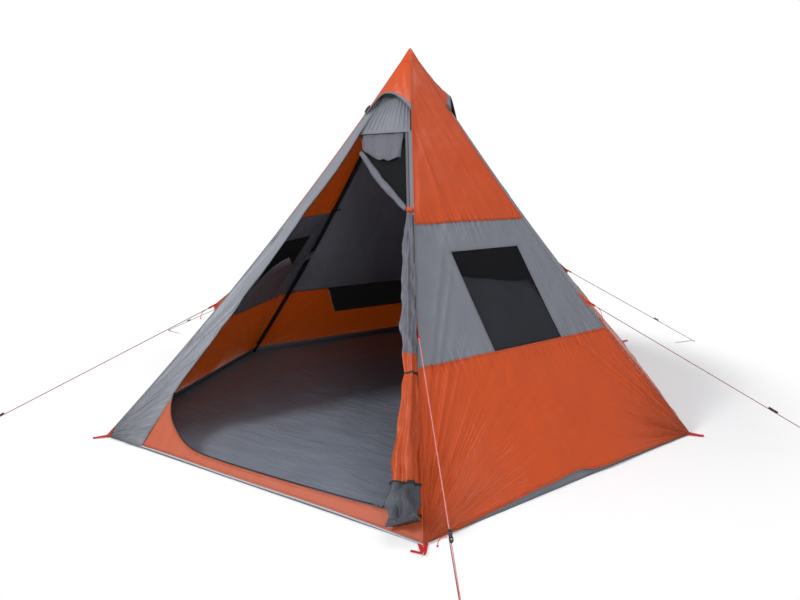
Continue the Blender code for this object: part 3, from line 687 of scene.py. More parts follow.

# %% [markdown]
# ## How tent cloth folds
#
# Pitched cloth is tight, so its folds are shallow and follow the pull.
# They fan out from each pegged corner, pucker along the seams where the thread draws the cloth in,
# and wander gently elsewhere. A few short sharp creases are strewn over them too.
# All are plain functions in the face's own plane, and they fade to nothing at the ridges,
# where the two faces are sewn together, and round windows and vents.


# %% Folds
WINDOW_WIDTH = 0.488
WINDOW_HEIGHT = 0.58
WINDOW_SILL = 0.702
WINDOW_OFFSET = 0.105
VENT_SILL, VENT_TOP = 0.408, 0.716
BANDED = ("right", "left", "rear")


def vent(top):
    """Corners of the floor vent, which widens as it goes up to the seam."""
    widened = 0.478 * (top - VENT_SILL)
    return ((-0.358, VENT_SILL), (0.400, VENT_SILL), (0.400 + widened, top), (-0.358 - widened, top))


def ease(value):
    value = np.clip(value, 0, 1)
    return value * value * (3 - 2 * value)


def ridged(wave, sharpness=2.2):
    """Turns an even wave into narrow folds with wide valleys."""
    return 2 * ((1 + wave) / 2) ** sharpness - 0.75


def wander(x, y, seed, shortest, longest, steepness, count=18):
    """Gentle unevenness: plane waves of many lengths and directions."""
    draw = np.random.default_rng(seed)
    total = np.zeros_like(x)
    for _ in range(count):
        length = shortest * (longest / shortest) ** draw.random()
        angle = draw.random() * math.pi
        phase = draw.random() * 2 * math.pi
        along = x * math.cos(angle) + y * math.sin(angle)
        total += length * np.sin(2 * math.pi * along / length + phase)
    return total * steepness / (2 * math.pi * math.sqrt(count))


def fan(x, y, centre, angle, spread, folds, steepness, reach):
    """Folds that radiate from one point."""
    dx, dy = x - centre[0], y - centre[1]
    radius = np.hypot(dx, dy)
    turn = np.arctan2(dy, dx)
    off = (turn - angle + math.pi) % (2 * math.pi) - math.pi
    window = np.exp(-((off / spread) ** 2)) * np.exp(-((radius / reach) ** 2))
    ripple = ridged(np.cos(folds * turn + 1.7 * np.sin(0.44 * folds * turn) + 3 * radius))
    return steepness / folds * radius * ripple * window * ease(radius / 0.08)


def puckers(x, y, seam, seed, depth, length, reach):
    """Short folds square to a seam."""
    wobble = wander(x, 0 * x, seed, 0.09, 0.3, 0.9, 6)
    ripple = ridged(np.sin(2 * math.pi * (x + wobble) / length), 1.7)
    strength = 0.5 + 0.5 * np.sin(5.3 * x + seed) * np.sin(13.1 * x + 2 * seed)
    return depth * ripple * strength * np.exp(-np.abs(y - seam) / reach)


def crinkles(x, y, seed, count, low, high, height, angle, scatter):
    """Short sharp creases, each one narrow and fading out at both ends."""
    draw = np.random.default_rng(seed)
    total = np.zeros_like(x)
    for _ in range(count):
        middle = np.array(low) + draw.random(2) * (np.array(high) - low)
        turn = draw.normal(angle, scatter)
        length, width = 0.03 + 0.09 * draw.random(), 0.006 + 0.006 * draw.random()
        along = (x - middle[0]) * math.cos(turn) + (y - middle[1]) * math.sin(turn)
        across = (y - middle[1]) * math.cos(turn) - (x - middle[0]) * math.sin(turn) + 1.5 * along**2
        shape = np.exp(-((along / length) ** 2)) * np.exp(-np.abs(across) / width)
        total += height * draw.choice((-1.0, 1.0)) * (0.5 + draw.random()) * shape
    return total


def window_corners(name):
    middle = WINDOW_OFFSET if name == "right" else -WINDOW_OFFSET
    low = (middle - 0.5 * WINDOW_WIDTH, WINDOW_SILL)
    return low, (low[0] + WINDOW_WIDTH, low[1] + WINDOW_HEIGHT)


def calm(face, x, y):
    """No folds at a window's or vent's edge, all of them a hand's width away."""
    if face.name in ("right", "left"):
        low, high = window_corners(face.name)
    elif face.name == "back_left":
        low, high = (-0.505, VENT_SILL), (0.547, VENT_TOP)
    else:
        return 1.0
    beyond = np.maximum(np.maximum(low[0] - x, x - high[0]), np.maximum(low[1] - y, y - high[1]))
    return ease(beyond / 0.07)


def strip_folds(across, y):
    """Long soft folds that run up the strip beside the doorway."""
    waves = ridged(np.sin(2 * math.pi * (across / 0.16 + 0.5 * np.sin(1.9 * y))), 1.5)
    waves += 0.6 * ridged(np.sin(2 * math.pi * (across / 0.075 + 0.7 * np.sin(2.7 * y + 1))), 1.5)
    return 0.0030 * waves * (0.6 + 0.4 * np.sin(3.1 * y + 0.5))


def face_folds(face, x, y):
    """Lift of a pitched face's cloth from its plain surface."""
    left, right = face.sides(y)
    edge = np.minimum(x - left, right - x)
    seed = sorted(FACES).index(face.name) + 11
    base, lower, upper = face.half, LOWER_SEAM * face.slant, UPPER_SEAM * face.slant
    lift = wander(x, y, seed, 0.18, 0.70, 0.05)
    lift += wander(x, y, seed + 40, 0.05, 0.13, 0.035, 12)
    for centre, angle, spread, folds, steepness, reach in (
        ((-base, 0.0), 0.98, 0.30, 62, 1.2, 0.52),
        ((-base, 0.0), 1.12, 0.14, 84, 1.0, 1.0),
        ((base, 0.0), math.pi - 1.02, 0.18, 58, 0.8, 0.60),
        ((base, 0.0), math.pi - 0.38, 0.28, 54, 1.0, 0.45),
        ((0.0, face.slant), -0.5 * math.pi, 0.5, 44, 0.13, 1.3),
    ):
        lift += fan(x, y, centre, angle, spread, folds, steepness, reach)
    lift += puckers(x, y, lower, seed, 0.0040, 0.034, 0.032)
    lift += puckers(x, y, lower, seed + 7, 0.0014, 0.061, 0.085)
    if face.name in BANDED:
        lift += puckers(x, y, upper, seed + 3, 0.0048, 0.036, 0.036)
        lift += crinkles(x, y, seed + 5, 12, (-0.75 * base, 0.8), (-0.45 * base, 1.35), 0.0026, -0.5, 0.3)
    lift += crinkles(x, y, seed + 1, 60, (-base, 0.05), (base, 1.7), 0.0016, -1.0, 0.7)
    for step in range(9):
        place = np.array((-0.20 + 0.045 * step, 0.62 - 0.052 * step))
        lift += crinkles(x, y, seed + 60 + step, 2, place - 0.02, place + 0.02, 0.0022, 0.25, 0.35)
    if face.name == "door":
        lift += strip_folds(x - left, y)
        return lift * ease((x - left) / 0.03) * ease((right - x) / 0.03)
    lift *= ease(edge / 0.045) * calm(face, x, y)
    return np.maximum(lift, -0.004 - 0.08 * y)


print("sample fold:", face_folds(faces["right"], np.array([0.1]), np.array([0.5])))

# %% [markdown]
# ## Making a panel
#
# A panel starts as a flat grid, as if it lay on the cutting table.
# The grid is pulled to the cut's outline, holes are cut with straight bisecting planes,
# and the UV map is taken there, so it is the flat cloth in metres.
# Then each point goes to its place on the bowed face.


def lay_uv(bm, pick):
    """Lays out the UV map; pick takes each point's place on it."""
    layer = bm.loops.layers.uv.new("UVMap")
    for polygon in bm.faces:
        for loop in polygon.loops:
            loop[layer].uv = pick(loop.vert.co)


def flat_grid(columns, rows, outline):
    """A grid pulled to its flat outline, and each point's shares across and up."""
    bm = bmesh.new()
    bmesh.ops.create_grid(bm, x_segments=columns, y_segments=rows, size=0.5)
    across, up = (np.array([vert.co[axis] + 0.5 for vert in bm.verts]) for axis in (0, 1))
    for vert, x, y in zip(bm.verts, *outline(across, up)):
        vert.co = (x, y, 0)
    return bm, across, up


def cut_hole(bm, corners):
    """Cuts a straight-sided hole; its corners are given in turn, anticlockwise."""
    corners = [Vector((*corner, 0)) for corner in corners]
    walls = []
    for start, end in zip(corners, corners[1:] + corners[:1]):
        inward = Vector((start.y - end.y, end.x - start.x, 0))
        walls.append((start, inward))
        geometry = bm.verts[:] + bm.edges[:] + bm.faces[:]
        bmesh.ops.bisect_plane(bm, geom=geometry, plane_co=start, plane_no=inward)
    inside = [
        polygon for polygon in bm.faces
        if all((polygon.calc_center_median() - start).dot(inward) > 0 for start, inward in walls)
    ]
    bmesh.ops.delete(bm, geom=inside, context="FACES")


def sew(
    name, bm, place, material, replaced=None, body="tent", thickness=CLOTH, offset=1.0,
    domed=False,
):
    """Turns a flat cut into a piece: UVs, closeness to its edge and size are taken while it is flat."""
    area = sum(polygon.calc_area() for polygon in bm.faces)
    rim = [vert.co.copy() for vert in bm.verts if vert.is_boundary]
    nearest = KDTree(len(rim))
    for index, spot in enumerate(rim):
        nearest.insert(spot, index)
    nearest.balance()
    seam = bm.verts.layers.float.new("seam")
    for vert in bm.verts:
        vert[seam] = max(0.0, 1 - nearest.find(vert.co)[2] / SEAM_REACH)
    lay_uv(bm, lambda spot: spot.xy)
    flat = np.array([vert.co[:2] for vert in bm.verts])
    for vert, point in zip(bm.verts, place(flat[:, 0], flat[:, 1])):
        vert.co = point
    mesh = to_mesh(bm, name)
    if domed:
        area = sum(polygon.area for polygon in mesh.polygons)
    piece = add_piece(name, mesh, material, body, replaced, thickness, offset)
    return piece


def add_pulls(bm, face):
    """Marks where the cloth is pulled into fine streaks: round the corners and square to the seams."""
    corner_pull = bm.verts.layers.float_vector.new("corner_pull")
    seam_pull = bm.verts.layers.float_vector.new("seam_pull")
    heights = [LOWER_SEAM * face.slant, UPPER_SEAM * face.slant][: 2 if face.name in BANDED else 1]
    for vert in bm.verts:
        x, y = vert.co.x, vert.co.y
        inward = face.half - abs(x)
        radius, angle = math.hypot(inward, y), math.atan2(y, inward)
        reach = 0.65 if x < 0 else 0.45
        strength = math.exp(-((radius / reach) ** 2)) * min(1.0, radius / 0.06)
        vert[corner_pull] = (34 * angle + math.copysign(40, x), 2.0 * radius, strength)
        near = min(heights, key=lambda height: abs(y - height))
        patchy = 0.65 + 0.35 * math.sin(4.1 * x + 2.0) * math.sin(9.7 * x + near)
        vert[seam_pull] = (42 * x, 5 * (y - near), patchy * math.exp(-abs(y - near) / 0.075))


def panel(
    name, face, columns, rows, outline, material, replaced=None, hole=None, lift=0.0, still=False,
):
    """A panel between a face's two poles; a still one has no folds, and lift may depend on the shares."""
    bm, across, up = flat_grid(columns, rows, outline)
    if not still:
        add_pulls(bm, face)
    if hole:
        cut_hole(bm, hole)

    def place(x, y):
        folds = 0 if still else face_folds(face, x, y)
        return face.place(x, y, folds + (lift(across, up) if callable(lift) else lift))

    return sew(name, bm, place, material, replaced)


def ruled(bottom, top, sides):
    """Outline between two heights, ruled from one side line to the other."""

    def outline(across, up):
        low = bottom(across) if callable(bottom) else bottom
        y = low + up * (top - low)
        left, right = sides(y)
        return left + across * (right - left), y

    return outline


def four_sided(corners):
    """Outline of a flat piece between four corners, anticlockwise from the lower left."""
    corners = np.array(corners)

    def outline(across, up):
        bottom = corners[0] + across[:, None] * (corners[1] - corners[0])
        top = corners[3] + across[:, None] * (corners[2] - corners[3])
        return (bottom + up[:, None] * (top - bottom)).T

    return outline


print("helpers: flat grid, holes, panels and outlines")

# %% [markdown]
# ## The canopy
#
# Window faces have an orange foot, a grey middle with a mesh window, and an orange top.
# The rear face has the same three bands without a window, and the two faces beside it are tall grey
# panels over the same orange foot.
# Each foot hem lifts a little between its corners, because only the corners are pegged.


# %% Canopy panels
LAP, LAP_LIFT = 0.008, 0.0013
HEM_REST, HEM_LIFT = 0.004, 0.024
RIGHT_HEM = (
    (0, 0.10, 0.19, 0.25, 0.35, 0.42, 0.47, 0.52, 0.57, 0.62, 0.70, 0.83, 1),
    (0, 0.003, 0.014, 0.019, 0.031, 0.031, 0.040, 0.040, 0.020, 0.012, 0.012, 0.008, 0),
)


def hem(across, name=""):
    """Height of a foot hem above its corners."""
    if name == "right":
        return HEM_REST + np.interp(across, *RIGHT_HEM)
    return HEM_REST + HEM_LIFT * np.power(4 * across * (1 - across), 0.8) * (0.8 + 0.2 * np.sin(9 * across))


def square(low, high):
    return (low, (high[0], low[1]), high, (low[0], high[1]))


for name in (*BANDED, "back_left", "back_right"):
    face, banded = faces[name], name in BANDED
    lower, upper, top = (share * face.slant for share in (LOWER_SEAM, UPPER_SEAM, TOP_SHARE))
    window = square(*window_corners(name)) if name in ("right", "left") else None
    opening = vent(0.74) if name == "back_left" else None
    foot = ruled(lambda across, name=name: hem(across, name), lower + LAP, face.sides)
    rows = 76 if banded else 70
    node_name = f"{name}_lower_band"
    panel(f"{name}_foot_cloth", face, 190, rows, foot, "orange_cloth", node_name, opening, LAP_LIFT)
    if banded:
        middle, above = ruled(lower, upper, face.sides), ruled(upper - LAP, top, face.sides)
        panel(f"{name}_middle_cloth", face, 150, 72, middle, "grey_cloth", f"{name}_middle_panel", window)
        node_name = f"{name}_upper_panel"
        panel(f"{name}_top_cloth", face, 96, 100, above, "orange_cloth", node_name, lift=LAP_LIFT)
    else:
        tall = ruled(lower, top, face.sides)
        panel(f"{name}_tall_cloth", face, 130, 150, tall, "grey_cloth", f"{name}_panel")
    if window:
        kind, net = "window_mesh" if name == "right" else "dark_mesh", four_sided(window)
        panel(f"{name}_window_net", face, 30, 34, net, kind, f"{name}_window_mesh", still=True)
    if opening:
        net, node_name = four_sided(vent(VENT_TOP)), f"{name}_vent_mesh"
        panel(f"{name}_vent_net", face, 40, 14, net, "dark_mesh", node_name, lift=-0.0012, still=True)
tell("canopy")

# %% [markdown]
# ## The doorway's cloth
#
# A wide strip runs down the left of the doorway and a narrow one, grey above and orange below, down its
# right. Behind the narrow one lies the folded edge of the grey cloth.
# The orange sill is cut to a sweeping curve that the zip follows, and a small patch covers its corner.
# We rule the sill between its straight foot and that curve, so its rows flow round the corner
# just as cloth cut on a curve does.

# %% Strips and sill
door = faces["door"]
DOORWAY_TOP = 2.075
STRIP_FOOT, STRIP_TOP = 0.006, 2.40
NARROW_STRIP = 0.028
FOLD_FOOT = 1.30
ZIP_GAP = 0.004
EDGE_HEIGHTS = (0.0, 0.30, 0.413, 0.736, 1.285, 1.521, 1.961, 2.08, 2.189, 2.336, 2.42)
EDGE_PLACES = (-0.725, -0.69, -0.673, -0.572, -0.402, -0.328, -0.165, -0.141, -0.118, -0.068, -0.040)
CURVE_POINTS = (
    (-0.690, 0.332), (-0.672, 0.276), (-0.639, 0.227), (-0.596, 0.186), (-0.536, 0.148), (-0.478, 0.117),
    (-0.410, 0.091), (-0.344, 0.078), (-0.271, 0.072), (-0.114, 0.070), (0.118, 0.072), (0.400, 0.078),
    (0.696, 0.087), (0.860, 0.099), (0.990, 0.106),
)


def doorway_edge(y):
    return np.interp(y, EDGE_HEIGHTS, EDGE_PLACES)


def run_along(points):
    """Length of a polyline up to each of its points."""
    return np.concatenate(([0], np.cumsum(np.linalg.norm(np.diff(points, axis=0), axis=1))))


def along_polyline(points, count):
    """Evenly spaced points along a polyline, with its corners rounded."""
    points = np.array(points, float)
    run = run_along(points)
    even = np.linspace(0, run[-1], count)
    line = np.stack([np.interp(even, run, column) for column in points.T], axis=1)
    for _ in range(max(1, count // 40)):
        line[1:-1] = 0.25 * line[:-2] + 0.5 * line[1:-1] + 0.25 * line[2:]
    return line


zip_curve = along_polyline(CURVE_POINTS, 121)


def left_sides(y):
    return door.sides(y)[0], doorway_edge(y) - ZIP_GAP


def right_sides(y):
    right = door.sides(y)[1]
    return right - NARROW_STRIP, right


def fold_sides(y):
    right = door.sides(y)[1]
    return right - 0.052, right - 0.031


def sill(across, up):
    steps = np.linspace(0, 1, len(zip_curve))
    top_x = np.interp(across, steps, zip_curve[:, 0])
    top_y = np.interp(across, steps, zip_curve[:, 1]) - ZIP_GAP
    foot_y = hem(0.18 + 0.82 * across) * 0.7
    foot_x = top_x - 0.035 * (1 - across) + 0.05 * across
    x, y = foot_x + up * (top_x - foot_x), foot_y + up * (top_y - foot_y)
    return x + across**12 * (door.sides(y)[1] - x), y


strip_seam = LOWER_SEAM * door.slant
left_strip = ruled(STRIP_FOOT, STRIP_TOP, left_sides)
above, below = ruled(strip_seam, DOORWAY_TOP, right_sides), ruled(0.108, strip_seam + 0.004, right_sides)
folded = ruled(FOLD_FOOT, DOORWAY_TOP, fold_sides)
corner_patch = four_sided(((-1.037, 0.006), (-0.986, 0.006), (-1.004, 0.067), (-1.009, 0.067)))
panel("door_left_cloth", door, 46, 240, left_strip, "pale_grey_cloth", "door_left_strip")
panel("door_right_cloth", door, 4, 110, above, "grey_cloth", "door_right_strip", still=True)
panel("door_right_foot_cloth", door, 4, 50, below, "orange_cloth", still=True, lift=0.0012)
panel("door_edge_fold", door, 4, 80, folded, "shaded_grey_cloth", lift=-0.007, still=True)
# The sill wears the paler copy of the orange cloth, painted sheen.
panel("door_sill_cloth", door, 160, 16, sill, "sheened_sill_orange_cloth", "door_sill", still=True)
panel("door_corner_patch", door, 8, 8, corner_patch, "orange_cloth", lift=0.0022)
tell("doorway")

# %% [markdown]
# ## Crown, header flap and mesh door
#
# Over the doorway sits a crown of pleats, gathered under the hood and flat at its hem.
# Behind it hangs a soft flap, and below that the mesh door is let down from one side,
# so its rolled edge crosses the opening as a thick grey sausage.
# Pleats and hanging folds are plain sine waves that grow away from where the cloth is held.


# %% Crown and flap
CROWN_FOOT, CROWN_HEIGHT = DOORWAY_TOP + 0.003, 0.425
PLEATS = 13
FLAP_TOP = 2.10


def crown_sides(y):
    return np.minimum(doorway_edge(y), -0.02) - 0.035, door.sides(y)[1]


def crown_lift(across, up):
    hold = ease(4 * across * (1 - across) / 0.25) * ease((up + 0.02) / 0.10)
    fan_shape = across + 0.10 * (across - 0.5) * up
    drift = 1.7 * np.sin(5 * across + 0.4) + 0.9 * np.sin(13 * across)
    pleats = ridged(np.sin(2 * math.pi * PLEATS * fan_shape + drift), 1.8)
    return -0.0095 + 0.0062 * (0.7 + 0.3 * np.sin(9 * across)) * pleats * hold * (1 - 0.4 * up)


def flap_foot(across):
    return np.interp(across, (0, 0.2, 0.4, 0.75, 1), (1.968, 1.926, 1.903, 1.893, 1.922))


def flap_sides(y):
    left = np.interp(y, (1.90, 1.94, 1.981, 2.085), (-0.050, -0.072, -0.102, -0.158))
    return left, np.interp(y, (1.90, 2.085), (0.185, 0.150))


def flap_lift(across, up):
    down = 1 - up
    folds = ridged(np.sin(19 * across + 1.0), 1.5) + 0.5 * np.sin(33 * across + 2.2 + 3 * down)
    drift = 0.004 * np.sin(9 * across + 5 * down) * down
    return -0.0175 - 0.0050 * folds * (0.35 + 0.65 * ease(down)) - drift


def net_lift(across, up):
    return -0.030 + 0.002 * np.sin(7 * across + 4 * up)


crown = ruled(CROWN_FOOT, CROWN_FOOT + CROWN_HEIGHT, crown_sides)
flap = ruled(flap_foot, FLAP_TOP, flap_sides)
net = four_sided(((-0.095, 1.945), (0.345, 1.575), (0.225, 2.05), (-0.06, 2.05)))
for name, columns, rows, outline, lift, material, replaced, held in (
    ("door_crown_cloth", 165, 40, crown, crown_lift, "pale_grey_cloth", "door_crown", "gathered"),
    ("header_flap_cloth", 60, 34, flap, flap_lift, "shaded_grey_cloth", "door_header_flap", "hung"),
    ("mesh_door_net", 30, 24, net, net_lift, "dark_mesh", "mesh_door", "hung"),
):
    panel(name, door, columns, rows, outline, material, replaced, lift=lift, still=True)
tell(f"crown with {PLEATS} pleats")

# %% [markdown]
# ## Rods, rolls and cords of cloth
#
# Many pieces are long and round: the rolled hem, the gathered door, piping and zips.
# One helper makes them all. It starts from a cone primitive with straight sides, cuts it into rings,
# and puts each ring square to a path, with a radius that may change along it and around it.


# %% Rod helper
def ringed_tube(sides, cuts):
    """An upright closed tube of height 1, cut into rings."""
    bm = bmesh.new()
    bmesh.ops.create_cone(bm, cap_ends=True, segments=sides, radius1=1, radius2=1, depth=1)
    upright = [edge for edge in bm.edges if abs(edge.verts[0].co.z - edge.verts[1].co.z) > 0.5]
    bmesh.ops.subdivide_edges(bm, edges=upright, cuts=cuts, use_grid_fill=True)
    return bm


def rod(name, points, radius, sides, material, toward=(0, 0, 1), body="tent", replaced=None, aspect=1.0):
    """A closed rod along points; radius is a number or a function of share along and angle round."""
    points = np.array(points, float)
    last = len(points) - 1
    bm = ringed_tube(sides, last - 1)
    tangent = unit(np.gradient(points, axis=0))
    side = unit(np.cross(tangent, np.array(toward, float)))
    front = np.cross(side, tangent)
    run, where = run_along(points), {}
    for vert in bm.verts:
        step = min(last, max(0, round((vert.co.z + 0.5) * last)))
        angle = math.atan2(vert.co.y, vert.co.x)
        size = radius(step / last, angle) if callable(radius) else radius
        where[vert] = (angle, step, size)
        spread = side[step] * math.cos(angle) * aspect + front[step] * math.sin(angle)
        vert.co = points[step] + spread * size
    layer = bm.loops.layers.uv.new("UVMap")
    for polygon in bm.faces:
        first = where[polygon.verts[0]][0]
        for loop in polygon.loops:
            angle, step, size = where[loop.vert]
            turn = (angle - first + math.pi) % (2 * math.pi) - math.pi + first
            loop[layer].uv = (turn * size, run[step])
    bmesh.ops.recalc_face_normals(bm, faces=bm.faces)
    return add_piece(name, to_mesh(bm, name), material, body, replaced)


def hem_radius(share, angle):
    body_size = 0.0065 + 0.0125 * math.sin(math.pi * (0.08 + 0.84 * share)) ** 0.7
    spiral = 0.0010 * math.sin(2 * angle + 22 * share) + 0.0008 * math.sin(5 * angle - 34 * share)
    return max(0.002, body_size + spiral)


# %% [markdown]
# ## Zips and hems of the doorway
# The sill's foot has a hem whose pale colour is painted light, the crown a thin grey one, and the mesh door
# ends in a thick roll.
# A dark zip follows the doorway's edge all round, thickest where it sweeps along the sill.
# The sill's foot has a pale hem, the crown a thin grey one, and the mesh door ends in a thick roll.
# All of them are rods, given here as one table of where they run and how thick they are.

# %% Zips and hems
roll = along_polyline(((-0.105, 1.955), (0.10, 1.765), (0.345, 1.575)), 90)
crown_x = np.linspace(doorway_edge(DOORWAY_TOP), door.sides(DOORWAY_TOP)[1][0] - 0.004, 40)
strip_y, side_y = np.linspace(0.14, DOORWAY_TOP, 100), np.linspace(0.332, DOORWAY_TOP, 90)
strip_x = door.sides(strip_y)[1] - NARROW_STRIP - 0.0015
for name, x, y, lift, radius, sides, material, aspect in (
    ("mesh_door_roll", *roll.T, -0.0205, hem_radius, 24, "shaded_grey_cloth", 1.1),
    ("crown_hem", crown_x, 0 * crown_x + DOORWAY_TOP + 0.004, -0.0045, 0.0026, 8, "pale_grey_cloth", 1.0),
    ("door_right_zip", strip_x, strip_y, -0.001, 0.0026, 8, "zip_tape", 1.0),
    ("doorway_zip", *zip_curve.T, 0.0022, 0.0029, 8, "zip_tape", 1.0),
    ("door_sill_hem", *sill(np.linspace(0, 1, 110), np.zeros(110)), 0.0008, 0.0038, 10, "hem_tape", 1.0),
    ("doorway_side_zip", doorway_edge(side_y), side_y, 0.0008, 0.0022, 8, "zip_tape", 1.0),
):
    rod(name, door.place(x, y, lift), radius, sides, material, toward=door.axes[2], aspect=aspect)
tell("zips and hems")

# %% [markdown]
# ## The door, gathered beside its pole
#
# The outer door is not rolled tightly: it is bunched against the front right pole and tied once.
# Its grey part shows above and its orange part below, and the loose end crumples on the sill.
# The cross-section is a lobed ring whose lobes wander as they go down, like bunched cloth.

# %% Door bundle
BUNDLE_TOP, BUNDLE_FOOT, BUNDLE_TIE = 0.568, 0.022, 0.250
GIRTH_SHARES = (
    0.018, 0.045, 0.072, 0.1175, 0.16, 0.212, 0.235, 0.250, 0.268, 0.33, 0.42, 0.50, 0.545, 0.575,
)
GIRTHS = (0.054, 0.058, 0.047, 0.046, 0.041, 0.034, 0.029, 0.024, 0.028, 0.031, 0.028, 0.024, 0.017, 0.012)


def bundle_path(start, end, count):
    """The gathered door's middle line, just outside the edge of the doorway."""
    shares = np.linspace(start, end, count)
    y = shares * door.slant
    girth = np.interp(shares, GIRTH_SHARES, GIRTHS)
    sideways = np.interp(shares, (0.11, 0.20), (0.95, 0.50))
    return door.place(door.sides(y)[1] - 0.018 - sideways * girth, y, 0.008 + 0.60 * girth)


def bundle_folds(share, angle, crumple):
    """Radius of the gathered cloth at a share of the ridge and an angle round it."""
    close = math.exp(-(((share - BUNDLE_TIE) / 0.02) ** 2))
    drift = 9 * share + 0.6 * math.sin(40 * share)
    folds = 0.17 * ridged(math.cos(5 * angle + drift), 1.6)
    folds += 0.10 * math.cos(9 * angle - 1.6 * drift + 1.3)
    folds += 0.08 * math.cos(3 * angle + 30 * share + 2.1) * (1 - close)
    folds += crumple * 0.15 * ridged(math.sin(75 * share + 2 * angle + 0.7), 1.2)
    folds += crumple * 0.10 * ridged(math.cos(4 * angle + 130 * share + 4.0), 1.2)
    folds += crumple * 0.05 * math.sin(7 * angle - 210 * share + 5.2)
    return float(np.interp(share, GIRTH_SHARES, GIRTHS)) * (1 + folds)


def bundle(name, start, end, material, crumple, replaced=None, growth=1.0):
    path = bundle_path(start, end, max(6, round(440 * abs(end - start))))

    def radius(along, angle):
        return growth * bundle_folds(start + along * (end - start), angle, crumple)

    rod(name, path, radius, 64, material, toward=door.axes[2], replaced=replaced)


# The bundle's darker cloths, grey, orange and its crumpled end, are painted shade in the gathered folds.
bundle("door_bundle_grey", BUNDLE_TOP, 0.280, "shaded_grey_cloth", 0.8, "door_roll")
bundle("door_bundle_orange", 0.286, 0.0730, "shaded_bundle_orange_cloth", 0.25)
bundle("door_bundle_end", 0.0750, BUNDLE_FOOT, "deep_shade_grey_cloth", 1.3)
bundle("door_bundle_tie", BUNDLE_TIE + 0.002, BUNDLE_TIE - 0.002, "zip_tape", 0.25, "door_tie", 1.07)
bundle("door_bundle_zip", 0.0755, 0.0720, "zip_tape", 0.8, growth=1.12)
bundle("mesh_door_tie", 0.581, 0.574, "orange_cloth", 0.25, growth=1.25)
tell("bundle")

# %% [markdown]
# ## Hoods
#
# Three vents near the peak wear stiffened hoods. Each is a cone of cloth from the tip to an arched
# edge that stands off the face. A pale trim and a round hem bind that edge, a black lining hangs
# behind it, and a small sewn end finishes it at the left ridge.
# The arch is half a wave of a sine, sharpened so that it rises late and falls early, and it is added
# both outward and up the slope.

# %% Hoods
HOOD_FOOT, HOOD_TOP = 0.83, 0.962
HOOD_CLOSE = (1 - HOOD_TOP) / (1 - HOOD_FOOT)
HOOD_SWELL, HOOD_RISE = 0.050, 0.100
HOOD_DEPTH, HOOD_FULLNESS = 0.40, 1.15
TRIM_SHARE = 0.095


def hood_ends(face):
    return [ridge(corner, HOOD_FOOT)[0] for corner in (face.left, face.right)]


def hood_place(face, across, up, lift):
    """Points of a hood from its arched edge, up 0, to its top, up 1."""
    left, right = hood_ends(face)
    arch = np.sin(math.pi * across**0.86)
    arch = np.where(across < 0.446, arch**1.6, arch**0.85)
    edge = left + across[:, None] * (right - left)
    reach = (1 + up * (HOOD_CLOSE - 1))[:, None]
    swell = face.axes[2] * HOOD_SWELL + face.axes[1] * HOOD_RISE
    stand_off = arch[:, None] * swell * np.clip(reach, 0, 2) ** 2.2
    return peak + reach * (edge - peak) + stand_off + np.multiply.outer(lift, face.axes[2])


def hood_cloth(face, name, first, last, material, lift, replaced=None, seed=0, slant=0.0):
    """Part of a hood between two shares from its edge (0) to its top (1)."""
    left, right = hood_ends(face)

    def climb(across, up):
        return first + up * (last - first) * (1 - slant * (1 - across) ** 0.8)

    def outline(across, up):
        height = climb(across, up)
        width = np.linalg.norm(right - left) * (1 - height * (1 - HOOD_CLOSE))
        return (across - 0.5) * width * HOOD_FULLNESS, height * HOOD_DEPTH

    bm, across, up = flat_grid(56, max(6, round(36 * (last - first))), outline)
    up = climb(across, up)

    def place(x, y):
        wrinkle = 0.0024 * np.sin(23 * across + 9 * up + seed) * np.sin(math.pi * np.clip(up, 0, 1))
        wrinkle += 0.0020 * np.sin(37 * across - 17 * up) * ease(up / 0.2) * (1 - up)
        return hood_place(face, across, up, lift + 0.0021 + wrinkle * np.sin(math.pi * across))

    sew(name, bm, place, material, replaced, domed=True)


def end_radius(share, angle):
    return 0.0085 * math.sqrt(max(0.1, 1 - (2 * share - 1) ** 2))


for index, name in enumerate(("door", "back_left", "back_right")):
    face, slant = faces[name], 0.95 if name == "door" else 0.0
    hood_cloth(face, f"{name}_hood_cloth", 0.0, 1.0, "orange_cloth", 0.0, f"{name}_hood", index)
    hood_cloth(face, f"{name}_hood_trim", -0.020, TRIM_SHARE, "pale_grey_cloth", 0.0014, None, index, slant)
    hood_cloth(face, f"{name}_hood_lining", -0.018, 0.5, "zip_tape", -0.0035, None, index)
    across = np.linspace(0, 1, 48)
    edge = hood_place(face, across, 0 * across - 0.020, 0 * across + 0.0016)
    # The hood's round hem and its sewn end wear darker copies of the grey cloth, painted shade.
    rod(f"{name}_hood_edge", edge, 0.0036, 10, "shaded_grey_cloth", face.axes[2])
    end = ridge(face.left, np.linspace(HOOD_FOOT, HOOD_FOOT + 0.019, 10), -0.007)
    rod(f"{name}_hood_end", end, end_radius, 12, "deep_shade_grey_cloth", outward(face.left), aspect=0.6)
tell("hoods")

# %% [markdown]
# ## The tip
#
# A small six-sided cap of orange cloth closes the tent above the hoods.
# It starts as the same ringed tube as the rods. Each ring is drawn onto the six ridges, a little
# outside them, and the rings shrink to the peak, where the doubled points are merged.

# %% Cap
CAP_FOOT = 0.955
CAP_SWELL = 0.0050


def heading(corner):
    return math.atan2(outward(corner)[1], outward(corner)[0])


def cap_section(angle, share):
    """A point of the cap's six-sided section at a share of the ridges."""
    order = sorted(CORNERS, key=heading)
    turns = [heading(corner) for corner in order]
    turns = [turns[-1] - 2 * math.pi, *turns, turns[0] + 2 * math.pi]
    spots = [ridge(corner, share)[0] for corner in (order[-1], *order, order[0])]
    return np.array([np.interp(angle, turns, values) for values in zip(*spots)])


